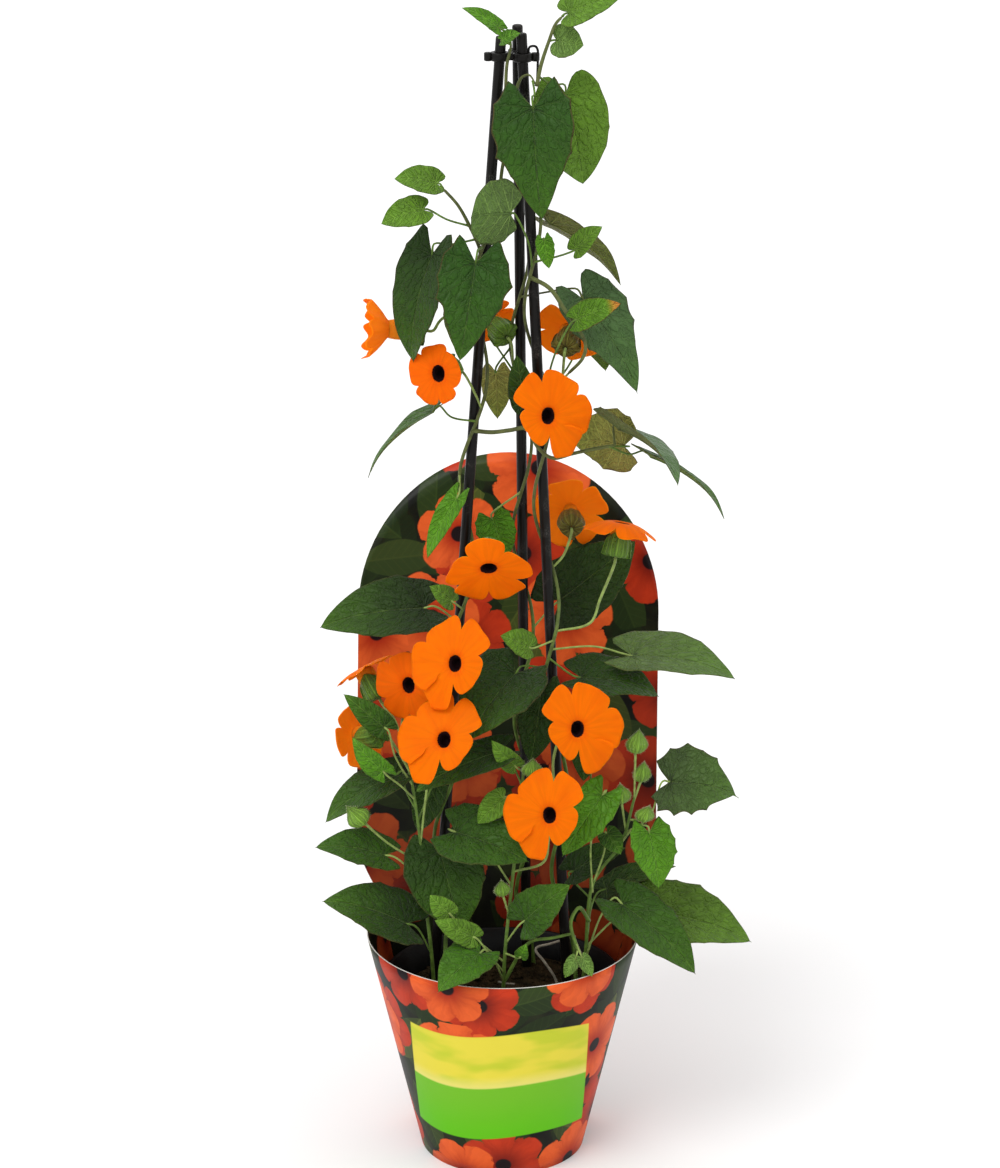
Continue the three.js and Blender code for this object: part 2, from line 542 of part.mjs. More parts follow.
// Each vine: the routes of its stems, then
//   leaves [stalk's route, base, tip, width, which way the upper side faces],
//   buds [stalk's route, base, tip, width] and
//   blooms [name, stalk's route, throat, which way it faces, width, how far the lobes bend back,
//     plan of its lobes, their turn in degrees].
const vines = [
  {
    name: 'vine_left',
    stems: [
      [[-31, -24, 83], [-31, -22, 108], ...twine(canes.left, 104, 424, 130, 560), [3, -7, 585],
        [2, -8, 608], [2.6, -8.4, 620], [4.6, -8.2, 630], [3, -7, 635.5]],
      [onLeft(520), [-12, -12, 525], [-16.5, -18, 537], [-22.5, -20, 548.5], [-30, -20, 557]],
      [onLeft(424), [-5, -14.5, 424.5], [4.5, -15.5, 426], [13, -15.5, 427], [20, -16, 416],
        [27, -16, 411], [38, -14, 413], CROSS_NODE, CROSS_END],
    ],
    leaves: [
      [[[-30, -20, 557]], [-34, -20, 560], [-55, -22, 563], 17, [0, -0.7, 0.7]],
      [[[-16.5, -18, 537], [-28, -21, 541]], [-41, -22, 546], [-62, -26, 540], 18, [0, -0.75, 0.65]],
      [[[-13.5, -14, 529], [-26, -17, 527]], [-36, -20, 522], [-48, -24, 465], 33, [-0.55, -0.8, 0.2]],
      [[[-10.5, -10, 523.5], [-12, -20, 525]], [-13, -28, 520], [-21, -39, 469], 39, [0.1, -0.95, 0.3]],
      [[onLeft(429), [-27, -12, 432]], [-37, -10, 434], [-73, -14, 400], 25, [-0.6, 0, 0.8]],
      [[onLeft(398)], [-24, -16, 388], [-40, -24, 357], 13, [-0.3, -0.8, 0.5]],
      [[onLeft(317)], [-42, -17, 326], [-98, -24, 318], 37, [-0.1, -0.65, 0.75]],
      [[onLeft(324)], [-27, -19, 331], [-38, -24, 341], 12, [0, -0.8, 0.6]],
      [[CROSS_NODE, [55, 3, 412]], [65, 11, 410], [36, 20, 411], 38, [0.3, 0.92, 0.15]],
      [[CROSS_END], [62.5, -5, 424], [95, -46, 408], 46, [0.66, 0.03, 0.76]],
      [[[57, -9, 415.7], [68, -1, 409]], [80, 4, 406], [120.5, -22, 382.5], 20, [0.61, 0.08, 0.79]],
      [[[3, -7, 635.5]], [-2, -7, 638.5], [-20, -10, 649.5], 10, [0.2, -0.7, 0.7]],
      [[[4.6, -8.2, 630]], [0.5, -11.5, 633], [9.5, -13, 637], 9, [-0.2, -0.7, 0.7]],
    ],
    buds: [],
    blooms: [
      ['bloom_01', [onLeft(492), [-24, 0, 488], [-33, -2, 482]], [-62, -7, 478], [-0.97, -0.12, -0.1],
        33, -0.4, 'even', 20],
      ['bloom_02', [onLeft(436), [-14, -13, 445], [-20, -12, 456]], [-32.8, -28, 460.2],
        [-0.35, -0.9, 0.1], 32, 0.15, 'funnel', 0],
      ['bloom_06', [onLeft(330), [-16, -14, 345]], [-6.2, -34, 354.6], [0.05, -0.91, -0.41], 46, 0.1,
        'even', 320],
      ['bloom_07', [onLeft(306)], [-23.7, -49, 306.2], [-0.33, -0.88, 0.35], 48, 0.1, 'toLeft', 0],
    ],
  },
  {
    name: 'vine_right',
    stems: [
      [[43, -19, 83], [41.5, -15, 108], ...twine(canes.right, 106, 513, 130, 604), [10, -9.5, 613],
        [14, -11, 615], TOP_NODE],
      [TOP_NODE, [20.2, -13, 620.4], [24.2, -13, 632.8], [27.5, -13, 641.5], [31, -13, 645.5]],
      [onRight(508), [25, -13, 503], [33, -15, 492], [44, -18, 475], [43, -18, 467], [35, -15, 457]],
    ],
    leaves: [
      [[[31, -13, 645.5]], [35, -12, 647.5], [60, -14, 656], 22, [0, -0.7, 0.7]],
      [[[24.2, -13, 632.8]], [28.5, -12.5, 633], [42, -14, 631], 18, [0, -0.9, 0.35]],
      [[[16, -12, 612], [17, -19, 606]], [16.4, -22, 600], [21, -30, 542], 44, [-0.1, -0.95, 0.3]],
      [[[19, -13, 614.5], [26, -7, 609]], [33, -4, 604], [42.5, -6, 556.5], 38, [0.15, -0.95, 0.2]],
      [[onRight(513), [14, -13, 527]], [4.5, -15, 543], [-16, -37, 546], 36, [-0.7, 0.7, 0.1]],
      [[onRight(537)], [25, 10, 532], [63.5, 14, 500], 25, [0.5, 0.6, 0.6]],
      [[onRight(516), [30, -12, 520]], [39, -12, 524], [52, -14, 536.5], 13, [-0.3, -0.8, 0.5]],
      [[onRight(519.5)], [22, -15, 529], [25, -16, 514], 10, [0.1, -0.95, 0.3]],
      [[onRight(447), [29, -15, 470]], [40, -20, 488], [62, -24, 498], 16, [-0.2, -0.8, 0.5]],
      [[onRight(417)], [12, -17, 441.5], [8, -15, 467], 15, [0, -0.95, 0.2]],
      [[onRight(297)], [43, -14, 286], [86, -14, 277.5], 34, [0, -0.35, 0.93]],
      [[onRight(302), [50, -11, 303]], [71, -6, 296], [127, -14, 288.5], 38, [0, -0.3, 0.95]],
      [[onRight(307)], [15, -19, 305], [0, -23, 313], 16, [0, -0.75, 0.65]],
      [[onRight(291)], [8, -22, 291], [-17, -50, 264], 46, [-0.15, -0.6, 0.75]],
      [[onRight(284)], [22, -20, 280], [16, -26, 240], 24, [0.1, -0.95, 0.2]],
    ],
    buds: [],
    blooms: [
      ['bloom_03', [[35, -15, 457]], [25.1, -33, 439.2], [0.35, -0.93, 0.1], 46, 0.12, 'toRight', 0],
      ['bloom_05', [onRight(425), [31, -2, 440], [32, -3, 452]], [35.5, 14, 474], [0.1, 0.9, 0.3], 39, 0.1,
        'even', 40],
      ['bloom_14', [onRight(345), [33, 4, 350]], [36, 33, 366], [-0.05, 0.95, 0.2], 43, 0.15, 'even', 10],
      ['bloom_15', [onRight(312), [48, -12, 317], [53, -8, 329]], [64.5, 4, 369], [0.17, 0.2, 0.96], 42, 0.35,
        'even', 60],
    ],
  },
  {
    name: 'vine_rear',
    stems: [[[17, 40, 83], [14, 43.5, 108], ...twine(canes.rear, 110, 492, 130, 590)]],
    leaves: [
      [[onRear(492), [24.5, 7, 496], [35, 4, 498.5]], [42.5, 2, 493.5], [73, -6, 444.5], 37, [0.4, -0.8, 0.4]],
      [[onRear(462)], [-4, 11, 450], [-3, 10, 425], 17, [0, 0.95, 0.3]],
      [[onRear(382)], [-6, 14, 367], [2, 12, 344], 22, [0, -0.9, 0.4]],
      [[onRear(300)], [31, 28, 316], [72, 34, 348.5], 40, [-0.1, -0.97, 0.2]],
      [[onRear(547)], [10, 24, 572], [14, 34, 541], 26, [0.1, 0.95, 0.2]],
      [[onRear(445), [-10, 34, 468]], [-20, 38, 484], [-26, 45, 452], 24, [-0.1, 0.95, 0.2]],
      [[onRear(423), [36, 28, 452]], [44, 34, 470], [58, 44, 438], 24, [0.3, 0.9, 0.3]],
      [[onRear(412)], [24, 32, 432], [30, 42, 402], 26, [0.2, 0.9, 0.3]],
    ],
    buds: [],
    blooms: [
      ['bloom_04', [onRear(452)], [-8.2, 25.6, 476], [-0.5, 0.75, 0.3], 28, 0.2, 'even', 30],
    ],
  },
  {
    name: 'shoot_left',
    stems: [lowLeft],
    leaves: [
      [[onLowLeft(215), [-52, -30, 226]], [-57.5, -28, 233], [-96.5, -36, 209.5], 26, [-0.25, -0.5, 0.8]],
      [[onLowLeft(166), [-52, -37, 184]], [-63, -38, 190], [-100, -44, 198], 26, [0, -0.5, 0.87]],
      [[onLowLeft(130)], [-51, -46, 153], [-96, -50, 169], 36, [0.2, -0.5, 0.84]],
      [[onLowLeft(229), [-57, -37, 248]], [-62.6, -38, 265], [-83.5, -42, 285], 15, [-0.3, -0.7, 0.6]],
      [[onLowLeft(221), [-54, -40, 232]], [-63, -44, 242], [-79.2, -48, 262.5], 15, [-0.5, -0.7, 0.5]],
      [[onLowLeft(208)], [-37, -20, 226], [-46, -20, 196], 18, [0, -0.95, 0.3]],
      [[onLowLeft(174), [-37, -33, 188]], [-33, -34, 192], [-21, -48, 148], 44, [0, -0.9, 0.4]],
    ],
    buds: [
      [[onLowLeft(184), [-61, -38, 197]], [-73, -42, 210], [-83, -44, 221], 12],
    ],
    blooms: [
      ['bloom_08', [onLowLeft(232), [-54, -25, 252], [-52, -18, 270]], [-50, -27, 285.2], [-0.35, -0.93, 0.1],
        37, 0.15, 'funnel', 0],
      ['bloom_09', [onLowLeft(195), [-40, -34, 228], [-37, -35, 250]], [-29.2, -60, 267], [-0.2, -0.8, 0.5],
        48, 0.1, 'toLeft', -6],
      ['bloom_12', [onLowLeft(236), [-58, -30, 252]], [-79, -20, 252.5], [-0.62, 0.55, -0.3], 37, 0.2,
        'even', 33],
      ['bloom_13', [onLowLeft(240), [-58, -20, 262]], [-77, 0, 284.8], [-0.5, 0.3, 0.8], 35, 0.15, 'even', 15],
    ],
  },
  {
    name: 'shoot_front',
    stems: [lowFront, [onLowFront(118), [16.8, -52, 145.8], [28.8, -52, 148.4], [40, -47, 149]]],
    leaves: [
      [[onLowFront(232), [6, -37, 246]], [-1, -41, 252.5], [-46, -51, 234], 22, [0, -0.6, 0.8]],
      [[onLowFront(240)], [8, -43, 246], [-4, -49, 262], 12, [-0.2, -0.9, 0.3]],
      [[onLowFront(205)], [2, -42, 226], [-12, -46, 213], 15, [-0.1, -0.8, 0.6]],
      [[onLowFront(176), [-10, -40, 198]], [-24, -42, 206], [16, -58, 197], 36, [0, -0.7, 0.7]],
      [[onLowFront(143)], [14, -55, 160], [38, -60, 184], 26, [-0.2, -0.85, 0.5]],
      [[onLowFront(118), [-3, -58, 138]], [-10, -66, 145], [-32, -86, 132], 28, [-0.2, -0.6, 0.75]],
      [[onLowFront(131), [-15, -58, 152]], [-27, -62, 167], [-37, -64, 178], 13, [-0.2, -0.9, 0.4]],
      [[onLowFront(124), [-6, -60, 143]], [-14, -62, 153], [-34, -68, 165], 14, [-0.2, -0.8, 0.5]],
      [[onLowFront(137)], [12, -58, 140], [15, -62, 149], 8, [0, -0.9, 0.4]],
    ],
    buds: [
      [[onLowFront(226)], [17, -44, 240], [18, -46, 251], 10],
      [[onLowFront(160)], [2, -50, 172], [1, -51, 182], 8],
    ],
    blooms: [
      ['bloom_10', [onLowFront(212), [27, -36, 224], [29, -34, 248]], [42, -54, 271.6], [0.3, -0.92, 0.2],
        48, 0.1, 'toRight', 0],
      ['bloom_11', [onLowFront(184), [24, -44, 190], [27, -44, 206]], [27.4, -68, 227.5], [-0.25, -0.93, 0.2],
        48, 0.1, 'toLeft', 4],
    ],
  },
  {
    name: 'shoot_right',
    stems: [lowRight, [onLowRight(150), [43, -44, 163], [39, -50, 157], PAIR_NODE]],
    leaves: [
      [[onLowRight(204), [81, -32, 212]], [92, -26, 230.5], [128.5, -34, 229], 42, [0.1, -0.75, 0.65]],
      [[onLowRight(168), [50, -45, 206]], [55.5, -45, 230], [34, -57, 199], 25, [-0.1, -0.85, 0.5]],
      [[onLowRight(174), [57, -40, 196]], [58, -41, 206], [66, -46, 196], 13, [0.2, -0.85, 0.5]],
      [[onLowRight(199), [74, -40, 210]], [81, -42, 207.5], [87, -54, 179], 26, [0.3, -0.9, 0.3]],
      [[onLowRight(126), [56, -40, 158]], [67, -44, 165.5], [108, -62, 134], 32, [0.15, -0.6, 0.8]],
      [[onLowRight(134), [64, -18, 146]], [80, -14, 148.5], [139, -24, 136.5], 42, [0.1, -0.55, 0.83]],
      [[onLowRight(163)], [40, -26, 177], [68, -26, 192], 20, [0.1, -0.6, 0.8]],
      [[onLowRight(142), [50, -12, 150]], [58, 2, 154], [96, 4, 169], 18, [0, -0.4, 0.9]],
      [[onLowRight(156), [49, -18, 225]], [47, -17, 262], [45, -22, 228], 20, [0, -0.95, 0.2]],
      [[PAIR_NODE], [41.5, -57, 138], [36, -60, 128.5], 8, [-0.3, -0.9, 0.3]],
      [[[42.2, -55, 146.5]], [45.5, -57, 139], [51, -60, 129.5], 8, [0.3, -0.9, 0.3]],
    ],
    buds: [
      [[onLowRight(225)], [73, -34, 250], [75, -34, 264], 11],
      [[onLowRight(219)], [76, -33, 233], [78, -33, 245], 9],
      [[onLowRight(206)], [66, -37, 222], [65, -38, 234], 10],
      [[onLowRight(212)], [77, -40, 213], [81, -42, 223], 10],
    ],
    blooms: [],
  },
];

function vineBody({ stems, leaves, buds, blooms }) {
  const bodies = [
    ...stems.map((route) => tube(route.map(vec), STEM_R, 4)),
    ...leaves.map(leaf),
    ...buds.flatMap(bud),
    ...blooms.flatMap(bloomStalk),
  ];
  return joined(bodies);
}

for (const vine of vines) {
  addNode(vine.name, vineBody(vine), LEAF_GREEN);
}
vines.flatMap((vine) => vine.blooms).sort((a, b) => (a[0] < b[0] ? -1 : 1)).forEach(addBloom);

// ---- the soil, with plain holes for the canes and the stems ----
const SOIL_LOW_Z = POT_FLOOR + GAP;
const SOIL_EDGE_Z = SOIL_Z - 3;
const HOLE_GAP = 0.5;

function soil() {
  const profile = [
    [0, SOIL_LOW_Z], [potWallInside(SOIL_LOW_Z) - GAP, SOIL_LOW_Z],
    [potWallInside(SOIL_EDGE_Z) - GAP, SOIL_EDGE_Z], [34, SOIL_Z], [0, SOIL_Z + 1],
  ];
  let body = solid(turned(profile, POT_SIDES, vec([0, 0, 0]), vec([0, 0, 1])));
  for (const cane of Object.values(canes)) {
    const deeper = { foot: cane.foot.clone(), top: caneAt(cane, 110) };
    deeper.foot.z -= GAP;
    body = body.subtract(solid(caneRod(deeper, CANE_R + HOLE_GAP, 12)));
  }
  for (const { stems } of vines) {
    const [x, y, z] = stems[0][0];
    const up = vec(stems[0][1]).sub(vec(stems[0][0])).normalize();
    const foot = vec([x, y, z]).addScaledVector(up, -HOLE_GAP);
    const hole = [[0, 0], [STEM_R + 1, 0], [STEM_R + 1, 12], [0, 12]];
    body = body.subtract(solid(turned(hole, 6, foot, up)));
  }
  return geometryOf(body);
}
addNode('soil', soil(), SOIL_BROWN);

export default group;
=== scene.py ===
"""A black-eyed Susan vine (Thunbergia alata) in its pot: the fine pieces that stand for the CAD nodes.

Lengths are millimetres here and become metres where a mesh is made. +Z is up, and the origin is the
middle of the pot's foot. Each leaf, bloom and stem sits where its CAD solid sits.
"""
import math
import random

import bpy
import numpy as np
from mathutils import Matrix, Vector, noise


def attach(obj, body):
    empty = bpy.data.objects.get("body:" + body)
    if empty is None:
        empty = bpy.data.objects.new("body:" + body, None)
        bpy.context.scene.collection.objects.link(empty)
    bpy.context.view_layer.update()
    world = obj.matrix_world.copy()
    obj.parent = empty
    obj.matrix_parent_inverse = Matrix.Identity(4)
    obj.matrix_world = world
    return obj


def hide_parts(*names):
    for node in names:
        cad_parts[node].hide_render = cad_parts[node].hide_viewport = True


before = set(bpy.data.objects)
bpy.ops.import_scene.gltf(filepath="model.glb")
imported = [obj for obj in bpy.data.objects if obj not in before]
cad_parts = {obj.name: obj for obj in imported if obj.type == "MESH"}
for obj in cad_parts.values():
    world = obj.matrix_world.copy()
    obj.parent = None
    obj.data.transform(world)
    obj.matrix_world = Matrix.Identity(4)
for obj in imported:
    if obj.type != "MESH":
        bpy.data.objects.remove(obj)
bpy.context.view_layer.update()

# ---- driving dimensions ----
MM = 0.001
TURN = 2 * math.pi
RIM_Z = 129  # height of the sleeve's front rim
RIM_R = 76  # radius of the sleeve at its rim
FOOT_R = 46  # radius of the sleeve at its foot
PANEL_HALF = 86  # half the width of the sleeve's tall back panel
PANEL_EDGE_Z = 287  # where the panel's straight edges turn into its arch
PANEL_LEAN = 0.2054  # how far the panel leans back for each millimetre of height
BACK_Y = 49.5  # the middle of the sleeve's back at its foot
FOLD_FOOT = (44.5, 30)  # where the wrap turns into the back, at the foot and at the rim
FOLD_RIM = (73, 48)
SHOULDER_H = 34  # height over which the panel widens from the wrap to its full width
CARD = 0.6  # thickness of the sleeve's card
POT_H = 100  # height of the inner pot
POT_FOOT_R = 43.5
POT_SHOULDER_R = 62.5  # radius of the inner pot just under its lip
POT_WALL = 1.5
POT_FLOOR = 2
LIP_H = 12  # height of the inner pot's lip
SOIL_Z = 89  # height of the soil in the middle
CANE_R = 2.8
CANE_FOOT_Z = 35
CLIP_Z = 622.5  # height of the clip's middle
CLIP_H = 4.4
STEM_R = 1.05
PETIOLE_R = 0.75  # radius of a leaf's stalk
BLADE = 0.36  # thickness of a leaf
PETAL = 0.34  # thickness of a bloom's lobes
CALYX_LENGTH = 19.6  # from the throat of a bloom to the end of its stalk
LIGHT = 1.3  # how bright the studio light shows a white surface


def linear(red, green, blue):
    """The shader's numbers for a colour that looks so on screen, from 0 to 255, in the studio light."""
    shares = (c / 255 for c in (red, green, blue))
    return tuple((c / 12.92 if c <= 0.04045 else ((c + 0.055) / 1.055) ** 2.4) / LIGHT for c in shares)


def vec(*numbers):
    return np.array(numbers, float)


def unit(vector):
    return vector / np.linalg.norm(vector)


def smoothstep(low, high, x):
    share = np.clip((x - low) / (high - low), 0, 1)
    return share * share * (3 - 2 * share)


def wander(x, y, z):
    """A smooth noise from -1 to 1."""
    return noise.noise(Vector((x, y, z)))


# ---- meshes ----
VALUES = ("tint", "veins", "plan", "look")  # what the materials read at each point, three numbers each


class Shape:
    """The points, triangles and material values of one piece."""

    def __init__(self):
        self.points = []
        self.triangles = []
        self.rims = []
        self.values = {name: [] for name in VALUES}
        self.count = 0

    def add(self, points, triangles, rims=None, **values):
        """rims marks the triangles along a sheet's cut edge, which aren't smoothed into its faces."""
        points = np.asarray(points, float)
        triangles = np.asarray(triangles, int)
        self.points.append(points)
        self.triangles.append(triangles + self.count)
        self.rims.append(np.zeros(len(triangles), bool) if rims is None else rims)
        for name in VALUES:
            given = np.asarray(values.get(name, (0, 0, 0)), float)
            self.values[name].append(np.broadcast_to(given, points.shape))
        self.count += len(points)

    def piece(self, name, materials, slot, *nodes):
        """A Blender object of this shape that rides on the root body and stands for the CAD nodes."""
        mesh = bpy.data.meshes.new(name)
        points = np.vstack(self.points) * MM
        triangles = np.vstack(self.triangles)
        rims = np.concatenate(self.rims)
        mesh.vertices.add(len(points))
        mesh.vertices.foreach_set("co", points.ravel().astype(np.float32))
        mesh.loops.add(3 * len(triangles))
        mesh.loops.foreach_set("vertex_index", triangles.ravel().astype(np.int32))
        mesh.polygons.add(len(triangles))
        mesh.polygons.foreach_set("loop_start", np.arange(0, 3 * len(triangles), 3, dtype=np.int32))
        for material in materials:
            mesh.materials.append(material)
        if len(materials) > 1:
            mesh.polygons.foreach_set("material_index", rims.astype(np.int32))
        mesh.polygons.foreach_set("use_smooth", ~rims)
        for key, parts in self.values.items():
            attribute = mesh.attributes.new(key, "FLOAT_VECTOR", "POINT")
            attribute.data.foreach_set("vector", np.vstack(parts).ravel().astype(np.float32))
        mesh.update(calc_edges=True)
        mesh.validate()
        piece = bpy.data.objects.new(name, mesh)
        bpy.context.scene.collection.objects.link(piece)
        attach(piece, "root")
        if nodes:
            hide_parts(*nodes)
        return piece


def grid(rows, columns, closed=False):
    """The two triangles of each cell between rows of points, which may close round on themselves."""
    cells = columns if closed else columns - 1
    row, column = np.meshgrid(np.arange(rows - 1), np.arange(cells), indexing="ij")
    a = (row * columns + column).ravel()
    b = (row * columns + (column + 1) % columns).ravel()
    low = np.stack([a, b, b + columns], 1)
    high = np.stack([a, b + columns, a + columns], 1)
    return np.vstack([low, high])


def capped(rings, sides):
    """The triangles of a skin of rings, closed to a point before the first and one after the last."""
    count = rings * sides
    around = np.arange(sides)
    after = (around + 1) % sides
    last = count - sides
    return np.vstack([
        grid(rings, sides, closed=True),
        np.stack([np.full(sides, count), after, around], 1),
        np.stack([np.full(sides, count + 1), last + around, last + after], 1),
    ])


def welded(points, triangles):
    """The mesh with its coincident points made one: (indices of the points kept, triangles)."""
    _, kept, place = np.unique(np.round(points, 3), axis=0, return_index=True, return_inverse=True)
    triangles = place.reshape(-1)[triangles]
    a, b, c = triangles.T
    return kept, triangles[(a != b) & (b != c) & (c != a)]


def sheet(points, triangles, thickness):
    """A closed body of even thickness round a middle surface.

    Returns its points, its triangles, which of those lie along the rim, and for each point the index of
    the middle point it came from and whether it is on the under side.
    """
    kept, faces = welded(points, triangles)
    middle = points[kept]
    a, b, c = (middle[faces[:, i]] for i in range(3))
    normals = np.zeros_like(middle)
    for corner in range(3):
        np.add.at(normals, faces[:, corner], np.cross(b - a, c - a))
    normals /= np.maximum(np.linalg.norm(normals, axis=1), 1e-9)[:, None]
    count = len(middle)
    edges = np.vstack([faces[:, [0, 1]], faces[:, [1, 2]], faces[:, [2, 0]]])
    codes = edges[:, 0] * count + edges[:, 1]
    border = edges[~np.isin(codes, edges[:, 1] * count + edges[:, 0])]
    first, second = border.T
    rim = np.vstack([
        np.stack([second, first, first + count], 1),
        np.stack([second, first + count, second + count], 1),
    ])
    shell = np.vstack([faces, faces[:, ::-1] + count, rim])
    rims = np.zeros(len(shell), bool)
    rims[-len(rim):] = True
    offset = normals * thickness / 2
    under = np.repeat([0.0, 1.0], count)
    return np.vstack([middle + offset, middle - offset]), shell, rims, np.tile(kept, 2), under


def smooth_route(route, step):
    """Points evenly spaced along a centripetal Catmull-Rom curve through the route."""
    p = np.array(route, float)
    p = np.vstack([2 * p[0] - p[1], p, 2 * p[-1] - p[-2]])
    knots = np.maximum(np.linalg.norm(np.diff(p, axis=0), axis=1) ** 0.5, 1e-3)
    share = np.linspace(0, 1, 9)[:-1, None]
    fine = []
    for i in range(1, len(p) - 2):
        before, here, after = knots[i - 1:i + 2]
        pace = (p[i + 1] - p[i]) / here
        start = (p[i] - p[i - 1]) / before - (p[i + 1] - p[i - 1]) / (before + here) + pace
        end = pace - (p[i + 2] - p[i]) / (here + after) + (p[i + 2] - p[i + 1]) / after
        start, end = start * here, end * here
        cubic = 2 * p[i] - 2 * p[i + 1] + start + end
        square = -3 * p[i] + 3 * p[i + 1] - 2 * start - end
        fine.append(cubic * share ** 3 + square * share ** 2 + start * share + p[i])
    fine = np.vstack(fine + [p[-2:-1]])
    lengths = np.concatenate([[0], np.cumsum(np.linalg.norm(np.diff(fine, axis=0), axis=1))])
    count = max(3, round(lengths[-1] / step) + 1)
    at = np.linspace(0, lengths[-1], count)
    return np.stack([np.interp(at, lengths, fine[:, i]) for i in range(3)], 1)


def tube(path, radii, sides, ridges=0.0, start=(0.31, 0.17, 0.93)):
    """The points and triangles of a closed tube along a path; ridges makes it a little four-cornered."""
    along = np.gradient(path, axis=0)
    along /= np.maximum(np.linalg.norm(along, axis=1), 1e-9)[:, None]
    side = vec(*start)
    across = []
    for direction in along:
        side = unit(side - direction * (side @ direction))
        across.append(side)
    across = np.array(across)
    third = np.cross(along, across)
    angles = TURN * np.arange(sides) / sides
    radii = np.broadcast_to(radii, len(path))[:, None] * (1 + ridges * np.cos(4 * angles))
    angles = angles[None, :, None]
    ring = across[:, None] * np.cos(angles) + third[:, None] * np.sin(angles)
    points = (path[:, None] + ring * radii[:, :, None]).reshape(-1, 3)
    return np.vstack([points, path[:1], path[-1:]]), capped(len(path), sides)


def turned(profile, segments, at):
    """A solid of revolution from a profile of (radius, height); at(radius, angle, height) places it."""
    angles = TURN * np.arange(segments) / segments
    rows = [[at(radius, angle, height) for angle in angles] for radius, height in profile]
    points = np.array(rows).reshape(-1, 3)
    kept, triangles = welded(points, grid(len(profile), segments, closed=True))
    return points[kept], triangles


def upright(x, y):
    """Places a turned solid on a vertical axis."""
    return lambda radius, angle, z: vec(x + radius * math.cos(angle), y + radius * math.sin(angle), z)


HAIR_R = 0.055


def hairs(shape, roots, directions, length, tint, rand):
    """Fine plant hairs, each a thin closed spike."""
    for root, direction in zip(roots, directions):
        out = unit(direction + vec(*(rand.uniform(-0.5, 0.5) for _ in range(3))))
        side = unit(np.cross(out, vec(0.3, 0.5, 0.81)))
        third = np.cross(out, side)
        angles = (0, TURN / 3, 2 * TURN / 3)
        foot = [root + HAIR_R * (side * math.cos(a) + third * math.sin(a)) for a in angles]
        tip = root + out * length * rand.uniform(0.6, 1.2)
        shape.add([*foot, tip], [[0, 1, 3], [1, 2, 3], [2, 0, 3], [2, 1, 0]], tint=tint)


# ---- canes and the stems that wind up them ----
CANES = {
    "left": (vec(-42.9, -13.2, CANE_FOOT_Z), vec(-0.7, 0, 633)),
    "right": (vec(39.9, -13, CANE_FOOT_Z), vec(9.8, -2, 635)),
    "rear": (vec(13, 41, CANE_FOOT_Z), vec(7.4, 8.2, 637.5)),
}
TWINE_R = CANE_R + STEM_R + 1.7
# The pitch of each winding stem, and a height where it is in front of its cane.
TWINES = {"left": (104, 424), "right": (106, 513), "rear": (110, 492)}


def cane_at(side, z):
    foot, top = CANES[side]
    return foot + (top - foot) * (z - foot[2]) / (top[2] - foot[2])


def twine_point(side, z):
    """A point of the stem that winds up a cane."""
    pitch, front_z = TWINES[side]
    angle = -math.pi / 2 + TURN * (z - front_z) / pitch
    axis = cane_at(side, z)
    return [axis[0] + TWINE_R * math.cos(angle), axis[1] + TWINE_R * math.sin(angle), z]


def twine(side, from_z, to_z):
    count = round(8 * (to_z - from_z) / TWINES[side][0])
    return [twine_point(side, from_z + (to_z - from_z) * i / count) for i in range(count + 1)]


def on_twine(side):
    """Gives the point at a height on the stem that winds up a cane."""
    return lambda z: twine_point(side, z)


def on_shoot(route):
    """Gives the point at a height on a shoot that rises along a route."""
    heights = [p[2] for p in route]
    return lambda z: [float(np.interp(z, heights, [p[i] for p in route])) for i in range(3)]


# ---- where everything grows ----
# The three low shoots.
LOW_LEFT = [[-36, -30, 83], [-38, -35, 130], [-42, -36, 170], [-44, -34, 199], [-47, -32, 222],
    [-50, -30, 241]]
LOW_FRONT = [[2, -36, 83], [2, -43, 110], [3, -48, 137], [6, -46, 170], [9, -42, 200], [12, -38, 232],
    [13, -36, 246]]
LOW_RIGHT = [[44, -31, 83], [47, -31, 130], [51, -34, 174], [66, -36, 198], [70, -35.5, 212],
    [73, -35, 226]]

# Joints that several stalks share.
TOP_NODE = [18, -13, 609.5]
CROSS_NODE = [50, -11, 415]
CROSS_END = [60, -8, 416]
PAIR_NODE = [43, -56, 143]

